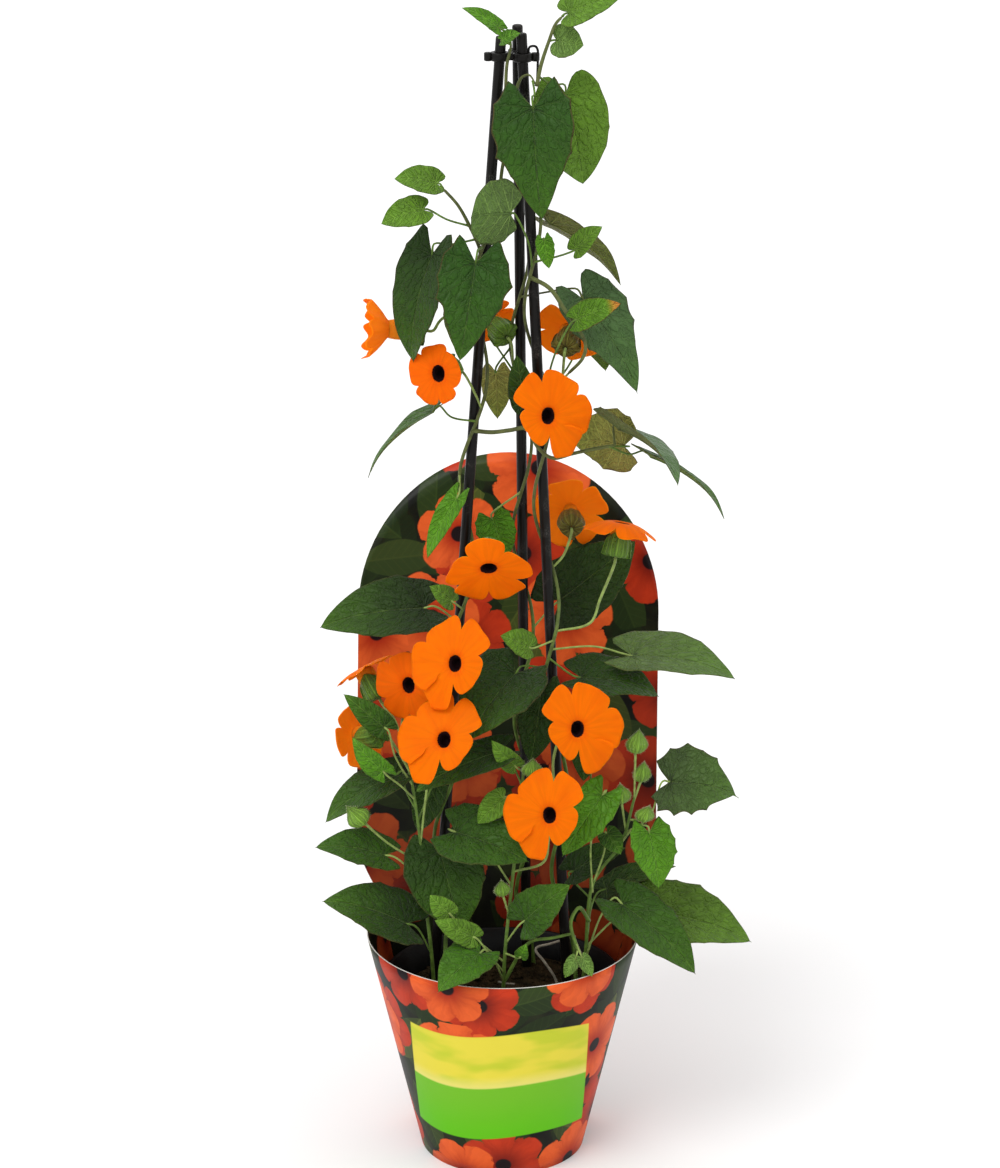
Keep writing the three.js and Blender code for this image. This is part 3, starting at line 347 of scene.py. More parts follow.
# Each vine: what finds the point at a height on its main stem, the looks of its leaves in their order,
# the routes of its main stem and its side stems, then
#   leaves [stalk's route, base, tip, width, which way the upper side faces],
#   buds [stalk's route, base, tip, width] and
#   blooms [name, stalk's route,
#       throat, which way it faces, width, how far the lobes bend back, plan of its lobes, their turn].
# A bare number in a route is a height: the point there on the vine's main stem.
VINES = [
    {
        "name": "vine_left",
        "place": on_twine("left"),
        "looks": "light light dark quilted edge bright deep light dull blue mid bright bright",
        "stems": [
            [[-31, -24, 83], [-31, -22, 108], *twine("left", 130, 560), [3, -7, 585], [2, -8, 608],
                [2.6, -8.4, 620], [4.6, -8.2, 630], [3, -7, 635.5]],
            [520, [-12, -12, 525], [-16.5, -18, 537], [-22.5, -20, 548.5], [-30, -20, 557]],
            [424, [-5, -14.5, 424.5], [4.5, -15.5, 426], [13, -15.5, 427], [20, -16, 416],
                [27, -16, 411], [38, -14, 413], CROSS_NODE, CROSS_END],
        ],
        "leaves": [
            [[[-30, -20, 557]], [-34, -20, 560], [-55, -22, 563], 17, [0, -0.7, 0.7]],
            [[[-16.5, -18, 537], [-28, -21, 541]],
                [-41, -22, 546], [-62, -26, 540], 18, [0, -0.75, 0.65]],
            [[[-13.5, -14, 529], [-26, -17, 527]],
                [-36, -20, 522], [-48, -24, 465], 33, [-0.55, -0.8, 0.2]],
            [[[-10.5, -10, 523.5], [-12, -20, 525]],
                [-13, -28, 520], [-21, -39, 469], 39, [0.1, -0.95, 0.3]],
            [[429, [-27, -12, 432]], [-37, -10, 434], [-73, -14, 400], 25, [-0.6, 0, 0.8]],
            [[398], [-24, -16, 388], [-40, -24, 357], 13, [-0.3, -0.8, 0.5]],
            [[317], [-42, -17, 326], [-98, -24, 318], 37, [-0.1, -0.65, 0.75]],
            [[324], [-27, -19, 331], [-38, -24, 341], 12, [0, -0.8, 0.6]],
            [[CROSS_NODE, [55, 3, 412]], [65, 11, 410], [36, 20, 411], 38, [0.3, 0.92, 0.15]],
            [[CROSS_END], [62.5, -5, 424], [95, -46, 408], 46, [0.66, 0.03, 0.76]],
            [[[57, -9, 415.7], [68, -1, 409]], [80, 4, 406], [120.5, -22, 382.5], 20, [0.61, 0.08, 0.79]],
            [[[3, -7, 635.5]], [-2, -7, 638.5], [-20, -10, 649.5], 10, [0.2, -0.7, 0.7]],
            [[[4.6, -8.2, 630]], [0.5, -11.5, 633], [9.5, -13, 637], 9, [-0.2, -0.7, 0.7]],
        ],
        "buds": [],
        "blooms": [
            ["bloom_01", [492, [-24, 0, 488], [-33, -2, 482]],
                [-59.5, -7, 478.5], [-0.97, -0.14, 0.07], 33, -0.75, "ruffled", 20],
            ["bloom_02", [436, [-14, -13, 445], [-20, -12, 456]],
                [-32.8, -28, 460.2], [-0.35, -0.9, 0.1], 32, 0.15, "funnel", 0],
            ["bloom_06", [330, [-16, -14, 345]],
                [-6.2, -34, 354.6], [0.05, -0.91, -0.41], 46, 0.1, "drooping", -90],
            ["bloom_07", [306],
                [-23.7, -49, 306.2], [-0.33, -0.88, 0.35], 48, 0.1, "toLeft", 0],
        ],
    },
    {
        "name": "vine_right",
        "place": on_twine("right"),
        "looks": "light pale quilted light grey olive light bright tipped dark dark dusty light dark dark",
        "stems": [
            [[43, -19, 83], [41.5, -15, 108], *twine("right", 130, 604), [10, -9.5, 613],
                [14, -11, 615], TOP_NODE],
            [TOP_NODE, [20.2, -13, 620.4], [24.2, -13, 632.8], [27.5, -13, 641.5], [31, -13, 645.5]],
            [508, [25, -13, 503], [33, -15, 492], [44, -18, 475], [43, -18, 467], [35, -15, 457]],
        ],
        "leaves": [
            [[[31, -13, 645.5]], [35, -12, 647.5], [60, -14, 656], 22, [0, -0.7, 0.7]],
            [[[24.2, -13, 632.8]], [28.5, -12.5, 633], [42, -14, 631], 18, [0, -0.9, 0.35]],
            [[[16, -12, 612], [17, -19, 606]], [16.4, -22, 600], [21, -30, 542], 44, [-0.1, -0.95, 0.3]],
            [[[19, -13, 614.5], [26, -7, 609]], [33, -4, 604], [42.5, -6, 556.5], 38, [0.15, -0.95, 0.2]],
            [[513, [14, -13, 527]], [4.5, -15, 543], [-16, -37, 546], 36, [-0.7, 0.7, 0.1]],
            [[537], [25, 10, 532], [63.5, 14, 500], 25, [0.5, 0.6, 0.6]],
            [[516, [30, -12, 520]], [39, -12, 524], [52, -14, 536.5], 13, [-0.3, -0.8, 0.5]],
            [[519.5], [22, -15, 529], [25, -16, 514], 10, [0.1, -0.95, 0.3]],
            [[447, [29, -15, 470]], [40, -20, 488], [62, -24, 498], 16, [-0.2, -0.8, 0.5]],
            [[417], [12, -17, 441.5], [8, -15, 467], 15, [0, -0.95, 0.2]],
            [[297], [43, -14, 286], [86, -14, 277.5], 34, [0, -0.35, 0.93]],
            [[302, [50, -11, 303]], [71, -6, 296], [127, -14, 288.5], 38, [0, -0.3, 0.95]],
            [[307], [15, -19, 305], [0, -23, 313], 16, [0, -0.75, 0.65]],
            [[291], [8, -22, 291], [-17, -50, 264], 46, [-0.15, -0.6, 0.75]],
            [[284], [22, -20, 280], [16, -26, 240], 24, [0.1, -0.95, 0.2]],
        ],
        "buds": [],
        "blooms": [
            ["bloom_03", [[35, -15, 457]],
                [25.1, -33, 439.2], [0.35, -0.93, 0.1], 46, 0.12, "toRight", 0],
            ["bloom_05", [425, [31, -2, 440], [32, -3, 452]],
                [35.5, 14, 474], [0.1, 0.9, 0.3], 39, 0.1, "even", 40],
            ["bloom_14", [345, [33, 4, 350]],
                [36, 33, 366], [-0.05, 0.95, 0.2], 43, 0.15, "even", 10],
            ["bloom_15", [312, [48, -12, 317], [53, -8, 329]],
                [64.5, 4, 369], [0.17, 0.2, 0.96], 42, 0.35, "even", 60],
        ],
    },
    {
        "name": "vine_rear",
        "place": on_twine("rear"),
        "looks": "blue dull bright deep mid dark mid dark",
        "stems": [[[17, 40, 83], [14, 43.5, 108], *twine("rear", 130, 590)]],
        "leaves": [
            [[492, [24.5, 7, 496], [35, 4, 498.5]],
                [42.5, 2, 493.5], [73, -6, 444.5], 37, [0.4, -0.8, 0.4]],
            [[462], [-4, 11, 450], [-3, 10, 425], 17, [0, 0.95, 0.3]],
            [[382], [-6, 14, 367], [2, 12, 344], 22, [0, -0.9, 0.4]],
            [[300], [31, 28, 316], [72, 34, 348.5], 40, [-0.1, -0.97, 0.2]],
            [[547], [10, 24, 572], [14, 34, 541], 26, [0.1, 0.95, 0.2]],
            [[445, [-10, 34, 468]], [-20, 38, 484], [-26, 45, 452], 24, [-0.1, 0.95, 0.2]],
            [[423, [36, 28, 452]], [44, 34, 470], [55, 42, 444], 24, [0.3, 0.9, 0.3]],
            [[412], [24, 32, 432], [30, 42, 402], 26, [0.2, 0.9, 0.3]],
        ],
        "buds": [],
        "blooms": [
            ["bloom_04", [452],
                [-8.2, 25.6, 476], [-0.5, 0.75, 0.3], 28, 0.2, "even", 30],
        ],
    },
    {
        "name": "shoot_left",
        "place": on_shoot(LOW_LEFT),
        "looks": "dark mid dark mid bright dark dark",
        "stems": [LOW_LEFT],
        "leaves": [
            [[215, [-52, -30, 226]], [-57.5, -28, 233], [-96.5, -36, 209.5], 26, [-0.25, -0.5, 0.8]],
            [[166, [-52, -37, 184]], [-63, -38, 190], [-100, -44, 198], 26, [0, -0.5, 0.87]],
            [[130], [-51, -46, 153], [-96, -50, 169], 36, [0.2, -0.5, 0.84]],
            [[229, [-57, -37, 248]], [-62.6, -38, 265], [-83.5, -42, 285], 15, [-0.3, -0.7, 0.6]],
            [[221, [-54, -40, 232]], [-63, -44, 242], [-79.2, -48, 262.5], 15, [-0.5, -0.7, 0.5]],
            [[208], [-37, -20, 226], [-46, -20, 196], 18, [0, -0.95, 0.3]],
            [[174, [-37, -33, 188]], [-33, -34, 192], [-21, -48, 148], 44, [0, -0.9, 0.4]],
        ],
        "buds": [
            [[184, [-61, -38, 197]], [-73, -42, 210], [-83, -44, 221], 12],
        ],
        "blooms": [
            ["bloom_08", [232, [-54, -25, 252], [-52, -18, 270]],
                [-50, -27, 285.2], [-0.35, -0.93, 0.1], 37, 0.15, "funnel", 0],
            ["bloom_09", [195, [-40, -34, 228], [-37, -35, 250]],
                [-29.2, -60, 267], [-0.2, -0.8, 0.5], 48, 0.1, "toLeft", -6],
            ["bloom_12", [236, [-58, -30, 252]],
                [-79, -20, 252.5], [-0.62, 0.55, -0.3], 37, 0.2, "even", 33],
            ["bloom_13", [240, [-58, -20, 262]],
                [-77, 0, 284.8], [-0.5, 0.3, 0.8], 35, 0.15, "even", 15],
        ],
    },
    {
        "name": "shoot_front",
        "place": on_shoot(LOW_FRONT),
        "looks": "dark light light mid mid fresh light light bright",
        "stems": [LOW_FRONT, [118, [16.8, -52, 145.8], [28.8, -52, 148.4], [40, -47, 149]]],
        "leaves": [
            [[232, [6, -37, 246]], [-1, -41, 252.5], [-46, -51, 234], 22, [0, -0.6, 0.8]],
            [[240], [8, -43, 246], [-4, -49, 262], 12, [-0.2, -0.9, 0.3]],
            [[205], [2, -42, 226], [-12, -46, 213], 15, [-0.1, -0.8, 0.6]],
            [[176, [-10, -40, 198]], [-24, -42, 206], [16, -58, 197], 36, [0, -0.7, 0.7]],
            [[143], [14, -55, 160], [38, -60, 184], 26, [-0.2, -0.85, 0.5]],
            [[118, [-3, -58, 138]], [-10, -66, 145], [-32, -86, 132], 28, [-0.2, -0.6, 0.75]],
            [[131, [-15, -58, 152]], [-27, -62, 167], [-37, -64, 178], 13, [-0.2, -0.9, 0.4]],
            [[124, [-6, -60, 143]], [-14, -62, 153], [-34, -68, 165], 14, [-0.2, -0.8, 0.5]],
            [[137], [12, -58, 140], [15, -62, 149], 8, [0, -0.9, 0.4]],
        ],
        "buds": [
            [[226], [17, -44, 240], [18, -46, 251], 10],
            [[160], [2, -50, 172], [1, -51, 182], 8],
        ],
        "blooms": [
            ["bloom_10", [212, [27, -36, 224], [29, -34, 248]],
                [42, -54, 271.6], [0.3, -0.92, 0.2], 48, 0.1, "toRight", 0],
            ["bloom_11", [184, [24, -44, 190], [27, -44, 206]],
                [27.4, -68, 227.5], [-0.25, -0.93, 0.2], 48, 0.1, "toLeft", 4],
        ],
    },
    {
        "name": "shoot_right",
        "place": on_shoot(LOW_RIGHT),
        "looks": "broad bright mid bright mid soft dark dark dark pale pale",
        "stems": [LOW_RIGHT, [150, [43, -44, 163], [39, -50, 157], PAIR_NODE]],
        "leaves": [
            [[204, [81, -32, 212]], [92, -26, 230.5], [128.5, -34, 229], 42, [0.1, -0.75, 0.65]],
            [[168, [50, -45, 206]], [55.5, -45, 230], [34, -57, 199], 25, [-0.1, -0.85, 0.5]],
            [[174, [57, -40, 196]], [58, -41, 206], [66, -46, 196], 13, [0.2, -0.85, 0.5]],
            [[199, [74, -40, 210]], [81, -42, 207.5], [87, -54, 179], 26, [0.3, -0.9, 0.3]],
            [[126, [56, -40, 158]], [67, -44, 165.5], [108, -62, 134], 32, [0.15, -0.6, 0.8]],
            [[134, [64, -18, 146]], [80, -14, 148.5], [139, -24, 136.5], 42, [0.1, -0.55, 0.83]],
            [[163], [40, -26, 177], [68, -26, 192], 20, [0.1, -0.6, 0.8]],
            [[142, [50, -12, 150]], [58, 2, 154], [96, 4, 169], 18, [0, -0.4, 0.9]],
            [[156, [49, -18, 225]], [47, -17, 262], [45, -22, 228], 20, [0, -0.95, 0.2]],
            [[PAIR_NODE], [41.5, -57, 138], [36, -60, 128.5], 8, [-0.3, -0.9, 0.3]],
            [[[42.2, -55, 146.5]], [45.5, -57, 139], [51, -60, 129.5], 8, [0.3, -0.9, 0.3]],
        ],
        "buds": [
            [[225], [73, -34, 250], [75, -34, 264], 11],
            [[219], [76, -33, 233], [78, -33, 245], 9],
            [[206], [66, -37, 222], [65, -38, 234], 10],
            [[212], [77, -40, 213], [81, -42, 223], 10],
        ],
        "blooms": [],
    },
]

# ---- leaves ----
# Half of a leaf's margin, from its stalk round the lobe at its foot to its tip, in shares of the half
# width and of the length.
ARROW_MARGIN = [(0, 0), (0.15, -0.07), (0.33, -0.17), (0.49, -0.25), (0.58, -0.24), (0.74, -0.155),
    (0.9, -0.05), (0.99, 0.08), (1, 0.2), (0.97, 0.35), (0.88, 0.49), (0.74, 0.62), (0.55, 0.75),
    (0.34, 0.86), (0.15, 0.95), (0, 1)]
HEART_MARGIN = [(0, 0), (0.1, -0.09), (0.24, -0.18), (0.43, -0.22), (0.6, -0.21), (0.78, -0.145),
    (0.92, -0.035), (0.99, 0.09), (1, 0.21), (0.98, 0.37), (0.9, 0.51), (0.76, 0.64), (0.57, 0.77),
    (0.36, 0.87), (0.16, 0.95), (0, 1)]
LEAF_ROWS = 10
# Where the side veins end along the margin, and the numbers of the veins there.
VEIN_PLACES = [0, 0.19, 0.33, 0.47, 0.6, 0.72, 0.84, 1]
VEINS = [0.3, 1, 2, 3, 4, 5, 6, 7]
MARGIN_VEINS = np.concatenate([np.linspace(0.3, 1, 6), np.linspace(1, 7, 43)[1:]])
TOOTHED_VEINS = range(1, 6)
LEAF_HEART = 0.3  # share of the length from which the margin spreads outward
TOOTH = 0.05  # size of the teeth, for each millimetre of the blade's width
FRAY = 0.008  # how far the margin strays to and fro, for each millimetre of width
SWELL = 0.014  # how high the blade stands between its veins, for each millimetre of width
WAVE = 0.02  # height of the waves along the margin, for each millimetre of width
LEAF_FOLD = 0.22  # rise of each half towards its edge
LEAF_ARCH = 0.07  # rise of the midrib between stalk and tip
MIDRIB_R = 0.42

PALE_STALK = linear(146, 168, 88)
GREEN_STALK = linear(98, 128, 50)
BROWN_STALK = linear(96, 104, 56)
DRY_STALK = linear(172, 164, 146)

# Each look: colours on screen of the upper and the under side, how heart-shaped rather than arrow-shaped,
# how toothed, how far the blade swells between its veins, how clear the veins are, how dark the margin
# line is and how far the tip curls under.
LEAF_LOOKS = {
    "bright": ((80, 136, 14), (118, 156, 62), 0.15, 1.1, 0.7, 0.4, 0.3, 0.05),
    "light": ((94, 134, 34), (116, 150, 64), 0.85, 0.4, 0.5, 0.35, 0.3, 0.05),
    "pale": ((104, 138, 60), (130, 158, 86), 0.9, 0.4, 0.8, 0.6, 0.6, 0.03),
    "tipped": ((86, 130, 22), (126, 152, 70), 0.3, 0.4, 0.5, 0.4, 0.9, 0.05),
    "fresh": ((62, 108, 14), (104, 132, 56), 0.2, 0.8, 0.9, 0.3, 0.3, 0.06),
    "mid": ((48, 84, 8), (98, 122, 50), 0.2, 0.8, 0.9, 0.3, 0.3, 0.06),
    "soft": ((86, 118, 32), (110, 134, 62), 0.2, 0.7, 0.8, 0.4, 0.3, 0.05),
    "dusty": ((80, 104, 48), (104, 124, 60), 0.2, 0.8, 0.9, 0.4, 0.3, 0.05),
    "edge": ((58, 96, 22), (106, 128, 60), 0.3, 0.6, 0.8, 0.35, 0.4, 0.05),
    "dark": ((34, 62, 5), (84, 102, 42), 0.25, 0.8, 1.1, 0.2, 0.3, 0.06),
    "deep": ((26, 46, 4), (70, 86, 34), 0.5, 0.6, 1.0, 0.15, 0.2, 0.05),
    "quilted": ((40, 78, 10), (88, 110, 48), 0.1, 1.3, 1.7, 0.3, 0.6, 0.07),
    # The blue look's grey blue-green is partly the blade's own colour and partly a painted bluish sheen.
    "blue": ((74, 104, 58), (104, 118, 62), 0.75, 1.0, 1.7, 0.35, 0.4, 0.05),
    "broad": ((66, 88, 42), (104, 116, 68), 0.75, 1.7, 1.7, 0.25, 0.4, 0.3),
    "olive": ((60, 88, 24), (122, 128, 64), 0.35, 0.7, 0.8, 0.9, 0.5, 0.05),
    "dull": ((60, 88, 24), (154, 150, 74), 0.5, 0.7, 0.8, 0.9, 0.4, 0.05),
    "grey": ((54, 88, 26), (98, 126, 62), 0.45, 0.5, 1.0, 0.95, 0.3, 0.05),
}
SLENDER = {"quilted": 0.24, "edge": 0.3, "blue": 0.35}  # how much narrower these are towards their tips
STALK_TINTS = {"olive": BROWN_STALK, "blue": BROWN_STALK, "quilted": GREEN_STALK, "dark": GREEN_STALK}
HIGH = 400  # height above which all stalks are green
SMALL = 20  # blades narrower than this have no dark net yet
LIGHT_TIP = linear(96, 150, 24)  # blades are a little lighter towards their tips
BROWN_TIP = linear(196, 120, 40)


class Blade:
    """A leaf's place: along runs from stalk to tip, and up is out of its upper side."""

    def __init__(self, base, tip, face):
        self.base = vec(*base)
        along = vec(*tip) - self.base
        self.length = np.linalg.norm(along)
        self.along = along / self.length
        face = vec(*face)
        self.up = unit(face - self.along * (face @ self.along))
        self.across = np.cross(self.along, self.up)

    def at(self, x, y, z):
        x, y, z = (np.asarray(n, float)[..., None] for n in (x, y, z))
        return self.base + self.across * x + self.along * y + self.up * z


def leaf_rise(x, y, length, twist, under_tip):
    """Height of the blade over the straight line from stalk to tip, before its swellings."""
    t = np.clip(y / length, 0, 1)
    fold = LEAF_FOLD * (np.sqrt(x * x + 1.4) - math.sqrt(1.4))
    curl = -under_tip * length * np.clip((t - 0.6) / 0.4, 0, 1) ** 2
    droop = -0.25 * length * np.clip(-y / length, 0, 1) ** 1.5
    return fold + LEAF_ARCH * length * 4 * t * (1 - t) + curl + droop + twist * x * t


def leaf_half(side, length, width, look, slender, twist, rand):
    """One half of a blade as a grid: its local points, the values of its veins and its rows."""
    _, _, roundness, teeth, swell, _, _, under_tip = look
    control = np.array(ARROW_MARGIN) * (1 - roundness) + np.array(HEART_MARGIN) * roundness
    control[:, 0] *= 1 - slender * smoothstep(0.2, 0.75, control[:, 1])
    control = control * (width / 2, length)
    control = np.column_stack([control, np.zeros(len(control))])
    margin = smooth_route(control, 0.5)
    vein = MARGIN_VEINS
    share = np.interp(vein, VEINS, VEIN_PLACES)
    middle = share * (1 - share) * 4
    place = np.linspace(0, 1, len(margin))
    margin = np.stack([np.interp(share, place, margin[:, i]) for i in range(2)], 1)
    outward = margin - (0, LEAF_HEART * length)
    outward /= np.linalg.norm(outward, axis=1)[:, None]
    for number in TOOTHED_VEINS:
        size = TOOTH * width * teeth * rand.uniform(0.1, 1)
        if number == TOOTHED_VEINS[-1]:
            size *= 0.5
        tooth = size * (np.clip(1 - np.abs(vein - number) / 0.5, 0, 1) ** 2 - 0.2)
        margin += outward * tooth[:, None]
    ripple = rand.uniform(0, TURN)
    margin += outward * (FRAY * width * np.sin(9 * share * math.pi + ripple) * middle)[:, None]
    spine = np.maximum(0, margin[:, 1] - LEAF_HEART * length * margin[:, 0] / (width / 2))
    spine[-1] = length
    row = (np.arange(LEAF_ROWS + 1) / LEAF_ROWS)[:, None]
    x = row * margin[None, :, 0]
    y = spine[None] + row * (margin[None, :, 1] - spine[None])
    between = (1 - np.cos(TURN * vein)) / 2 * np.clip(vein - 0.4, 0, 1)
    z = leaf_rise(side * x, y, length, twist, under_tip)
    z = z + SWELL * width * swell * between[None] * np.sqrt(row) * (1.12 - row)
    z = z + WAVE * width * np.sin(TURN * 2.3 * share + ripple)[None] * row ** 3 * middle[None]
    step = np.hypot(np.gradient(x, axis=1), np.gradient(y, axis=1))
    span = step / np.maximum(np.gradient(vein), 1e-3)[None]
    local = np.stack([side * x, y, z], -1).reshape(-1, 3)
    veins = np.stack([np.broadcast_to(vein, x.shape), span, x], -1).reshape(-1, 3)
    return local, veins, np.broadcast_to(row, x.shape).ravel()


def blended(low, high, share):
    """From one colour to another, at the shares given for the points."""
    return np.asarray(low) * (1 - share) + np.asarray(high) * share


def add_leaf(blades, stalks, route, base, tip, width, face, look_name, rand):
    """A blade with its midrib, and the stalk that bears it."""
    look = LEAF_LOOKS[look_name]
    top, back, _, _, _, clear, edge, under_tip = look
    top, back = linear(*top), linear(*back)
    if width < SMALL:
        clear = max(clear, 0.6)
    blade = Blade(base, tip, face)
    length = blade.length
    twist = rand.uniform(-0.06, 0.06)
    slender = SLENDER.get(look_name, 0)
    right, right_veins, right_rows = leaf_half(1, length, width, look, slender, twist, rand)
    left, left_veins, left_rows = leaf_half(-1, length, width, look, slender, twist, rand)
    local = np.vstack([right, left])
    cells = grid(LEAF_ROWS + 1, len(MARGIN_VEINS))
    triangles = np.vstack([cells[:, ::-1], cells + len(right)])
    points, triangles, rims, source, under = sheet(blade.at(*local.T), triangles, BLADE)
    tint = np.where(under[:, None] > 0, back, top) * rand.uniform(0.9, 1.1)
    along = np.clip(local[source, 1] / length, 0, 1)[:, None]
    tint = blended(tint, LIGHT_TIP, along ** 1.5 * rand.uniform(0.1, 0.4))
    if look_name == "tipped":
        tint = blended(tint, BROWN_TIP, smoothstep(0.7, 0.95, along))
    veins = np.vstack([right_veins, left_veins])[source]
    offset = rand.uniform(0, 900)
    rows = np.concatenate([right_rows, left_rows])[source]
    plan = np.column_stack([local[source, 0] + offset, local[source, 1], rows])
    marks = np.column_stack([under, np.full(len(under), clear), np.full(len(under), edge)])
    blades.add(points, triangles, rims, tint=tint, veins=veins, plan=plan, look=marks)

    tint = STALK_TINTS.get(look_name, GREEN_STALK if base[2] > HIGH else PALE_STALK)
    reach = np.linspace(0, 0.93, 12) * length
    rib = blade.at(0, reach, leaf_rise(0 * reach, reach, length, 0, under_tip) - BLADE / 2 - 0.12)
    neck = blade.at(0, -0.1 * length, 0.3)
    path = smooth_route([*route, neck, rib[0]], 1.5)
    share = np.linspace(0, 1, len(path))
    radii = PETIOLE_R * (0.72 + 0.3 * np.exp(-share / 0.08) + 0.2 * np.exp(-(1 - share) / 0.06))
    stalks.add(*tube(path, radii, 8), tint=tint)
    stalks.add(*tube(rib, np.linspace(MIDRIB_R, 0.08, len(rib)), 6), tint=np.array(back) * 1.1)


# ---- blooms ----
# The five lobes of a bloom, one after another round it: [angle of the notch before the lobe in degrees,
# share of the bloom's radius at the notch, shares near the lobe's first corner, in its middle and near
# its last corner].
LOBE_PLANS = {
    "even": [[0, 0.64, 0.97, 0.93, 0.99], [72, 0.66, 1.02, 0.95, 0.97], [144, 0.64, 0.94, 0.92, 0.98],
        [216, 0.66, 1, 0.94, 0.97], [288, 0.62, 0.97, 0.93, 0.97]],
    "toLeft": [[18, 0.58, 0.92, 0.97, 1.06], [80, 0.76, 1.07, 0.99, 0.95], [146, 0.84, 1.08, 1.1, 1.08],
        [212, 0.92, 1, 1.13, 1.06], [266, 0.44, 0.72, 0.62, 0.67]],
    "toRight": [[-86, 0.45, 1.05, 1.13, 1.02], [-32, 0.92, 1.08, 1.1, 1.04], [32, 0.82, 1.02, 0.99, 1.06],
        [100, 0.78, 1.07, 0.98, 0.92], [162, 0.58, 0.68, 0.6, 0.73]],
    "funnel": [[-40, 0.7, 0.78, 0.8, 0.8], [70, 0.82, 0.97, 0.95, 0.98], [138, 0.84, 1.12, 1.13, 1.1],
        [213, 0.86, 1.15, 1.13, 1.1], [270, 0.84, 1.02, 0.98, 0.9]],
    "drooping": [[-33, 0.68, 1.07, 0.86, 0.72], [50, 0.6, 0.84, 0.92, 0.85], [137, 0.6, 0.74, 0.86, 1.12],
        [214, 0.84, 1.16, 1.12, 1.06], [266, 0.7, 1.06, 1.12, 1.1]],
    "ruffled": [[0, 0.8, 0.97, 0.99, 0.95], [72, 0.84, 0.98, 1, 0.95], [144, 0.8, 0.95, 0.98, 0.94],
        [216, 0.84, 0.96, 0.99, 0.93], [288, 0.8, 0.96, 0.98, 0.95]],
}
OVERLAP = 0.88  # a notch that reaches this far is where one lobe lies over the next
LOBE_CORNERS = (0.16, 0.5, 0.84)  # where across a lobe its three shares hold
CORNER = 0.19  # share of a lobe's width that each of its rounded corners takes
LAP = np.radians(9)  # how far a lobe then reaches over the next
LOBE_COLUMNS = 22
LOBE_ROWS = 16
LOBE_WAVE = 0.018  # how wavy a lobe's edge is, as a share of its reach
RUFFLE = 0.02  # height of the ruffles along it, as a share of half the bloom's width
EYE_R = 3.5
TUBE_COLUMNS = 36
# The tube behind the lobes and the dark lining of its throat, as (radius, height from the throat).
TUBE_RIM_R = (4.35, 3.9)  # outside and inside
TUBE_OUTSIDE = [(0, -17.2), (1.5, -17.1), (2.6, -15.6), (3.9, -11), (4.9, -6), (4.8, -2.8)]
TUBE_INSIDE = [(4.2, -3), (4.45, -6), (3.5, -11), (2.2, -15.3), (0, -16.6)]
LINING = [(0, -8.2), (2.3, -7), (3, -4), (3.4, -1.6), (3.6, -0.9), (3.45, -0.8), (3, -1.7), (2.6, -4),
    (2, -6.2), (0, -7.2)]
PETAL_TINT = linear(252, 109, 0)
FUNNEL_TINT = linear(252, 101, 4)
TUBE_TINT = linear(222, 130, 30)
EYE_TINT = linear(26, 10, 14)


class BloomFrame:
    """A bloom's place: out is the way it faces."""

    def __init__(self, throat, facing):
        self.throat = vec(*throat)
        self.out = unit(vec(*facing))
        to_front = unit(vec(0, -1, 0.3))
        side = to_front - self.out * (to_front @ self.out)
        if np.linalg.norm(side) < 0.5:
            side = vec(1, 0, 0) - self.out * self.out[0]
        self.side = unit(side)
        self.third = np.cross(self.out, self.side)

    def at(self, radius, angle, z):
        x, y = radius * np.cos(angle), radius * np.sin(angle)
        x, y, z = (np.asarray(n, float)[..., None] for n in (x, y, z))
        return self.throat + self.side * x + self.third * y + self.out * z


def oval(angle):
    """The throat is a little higher than it is wide."""
    return np.hypot(0.9 * np.cos(angle), 1.12 * np.sin(angle))


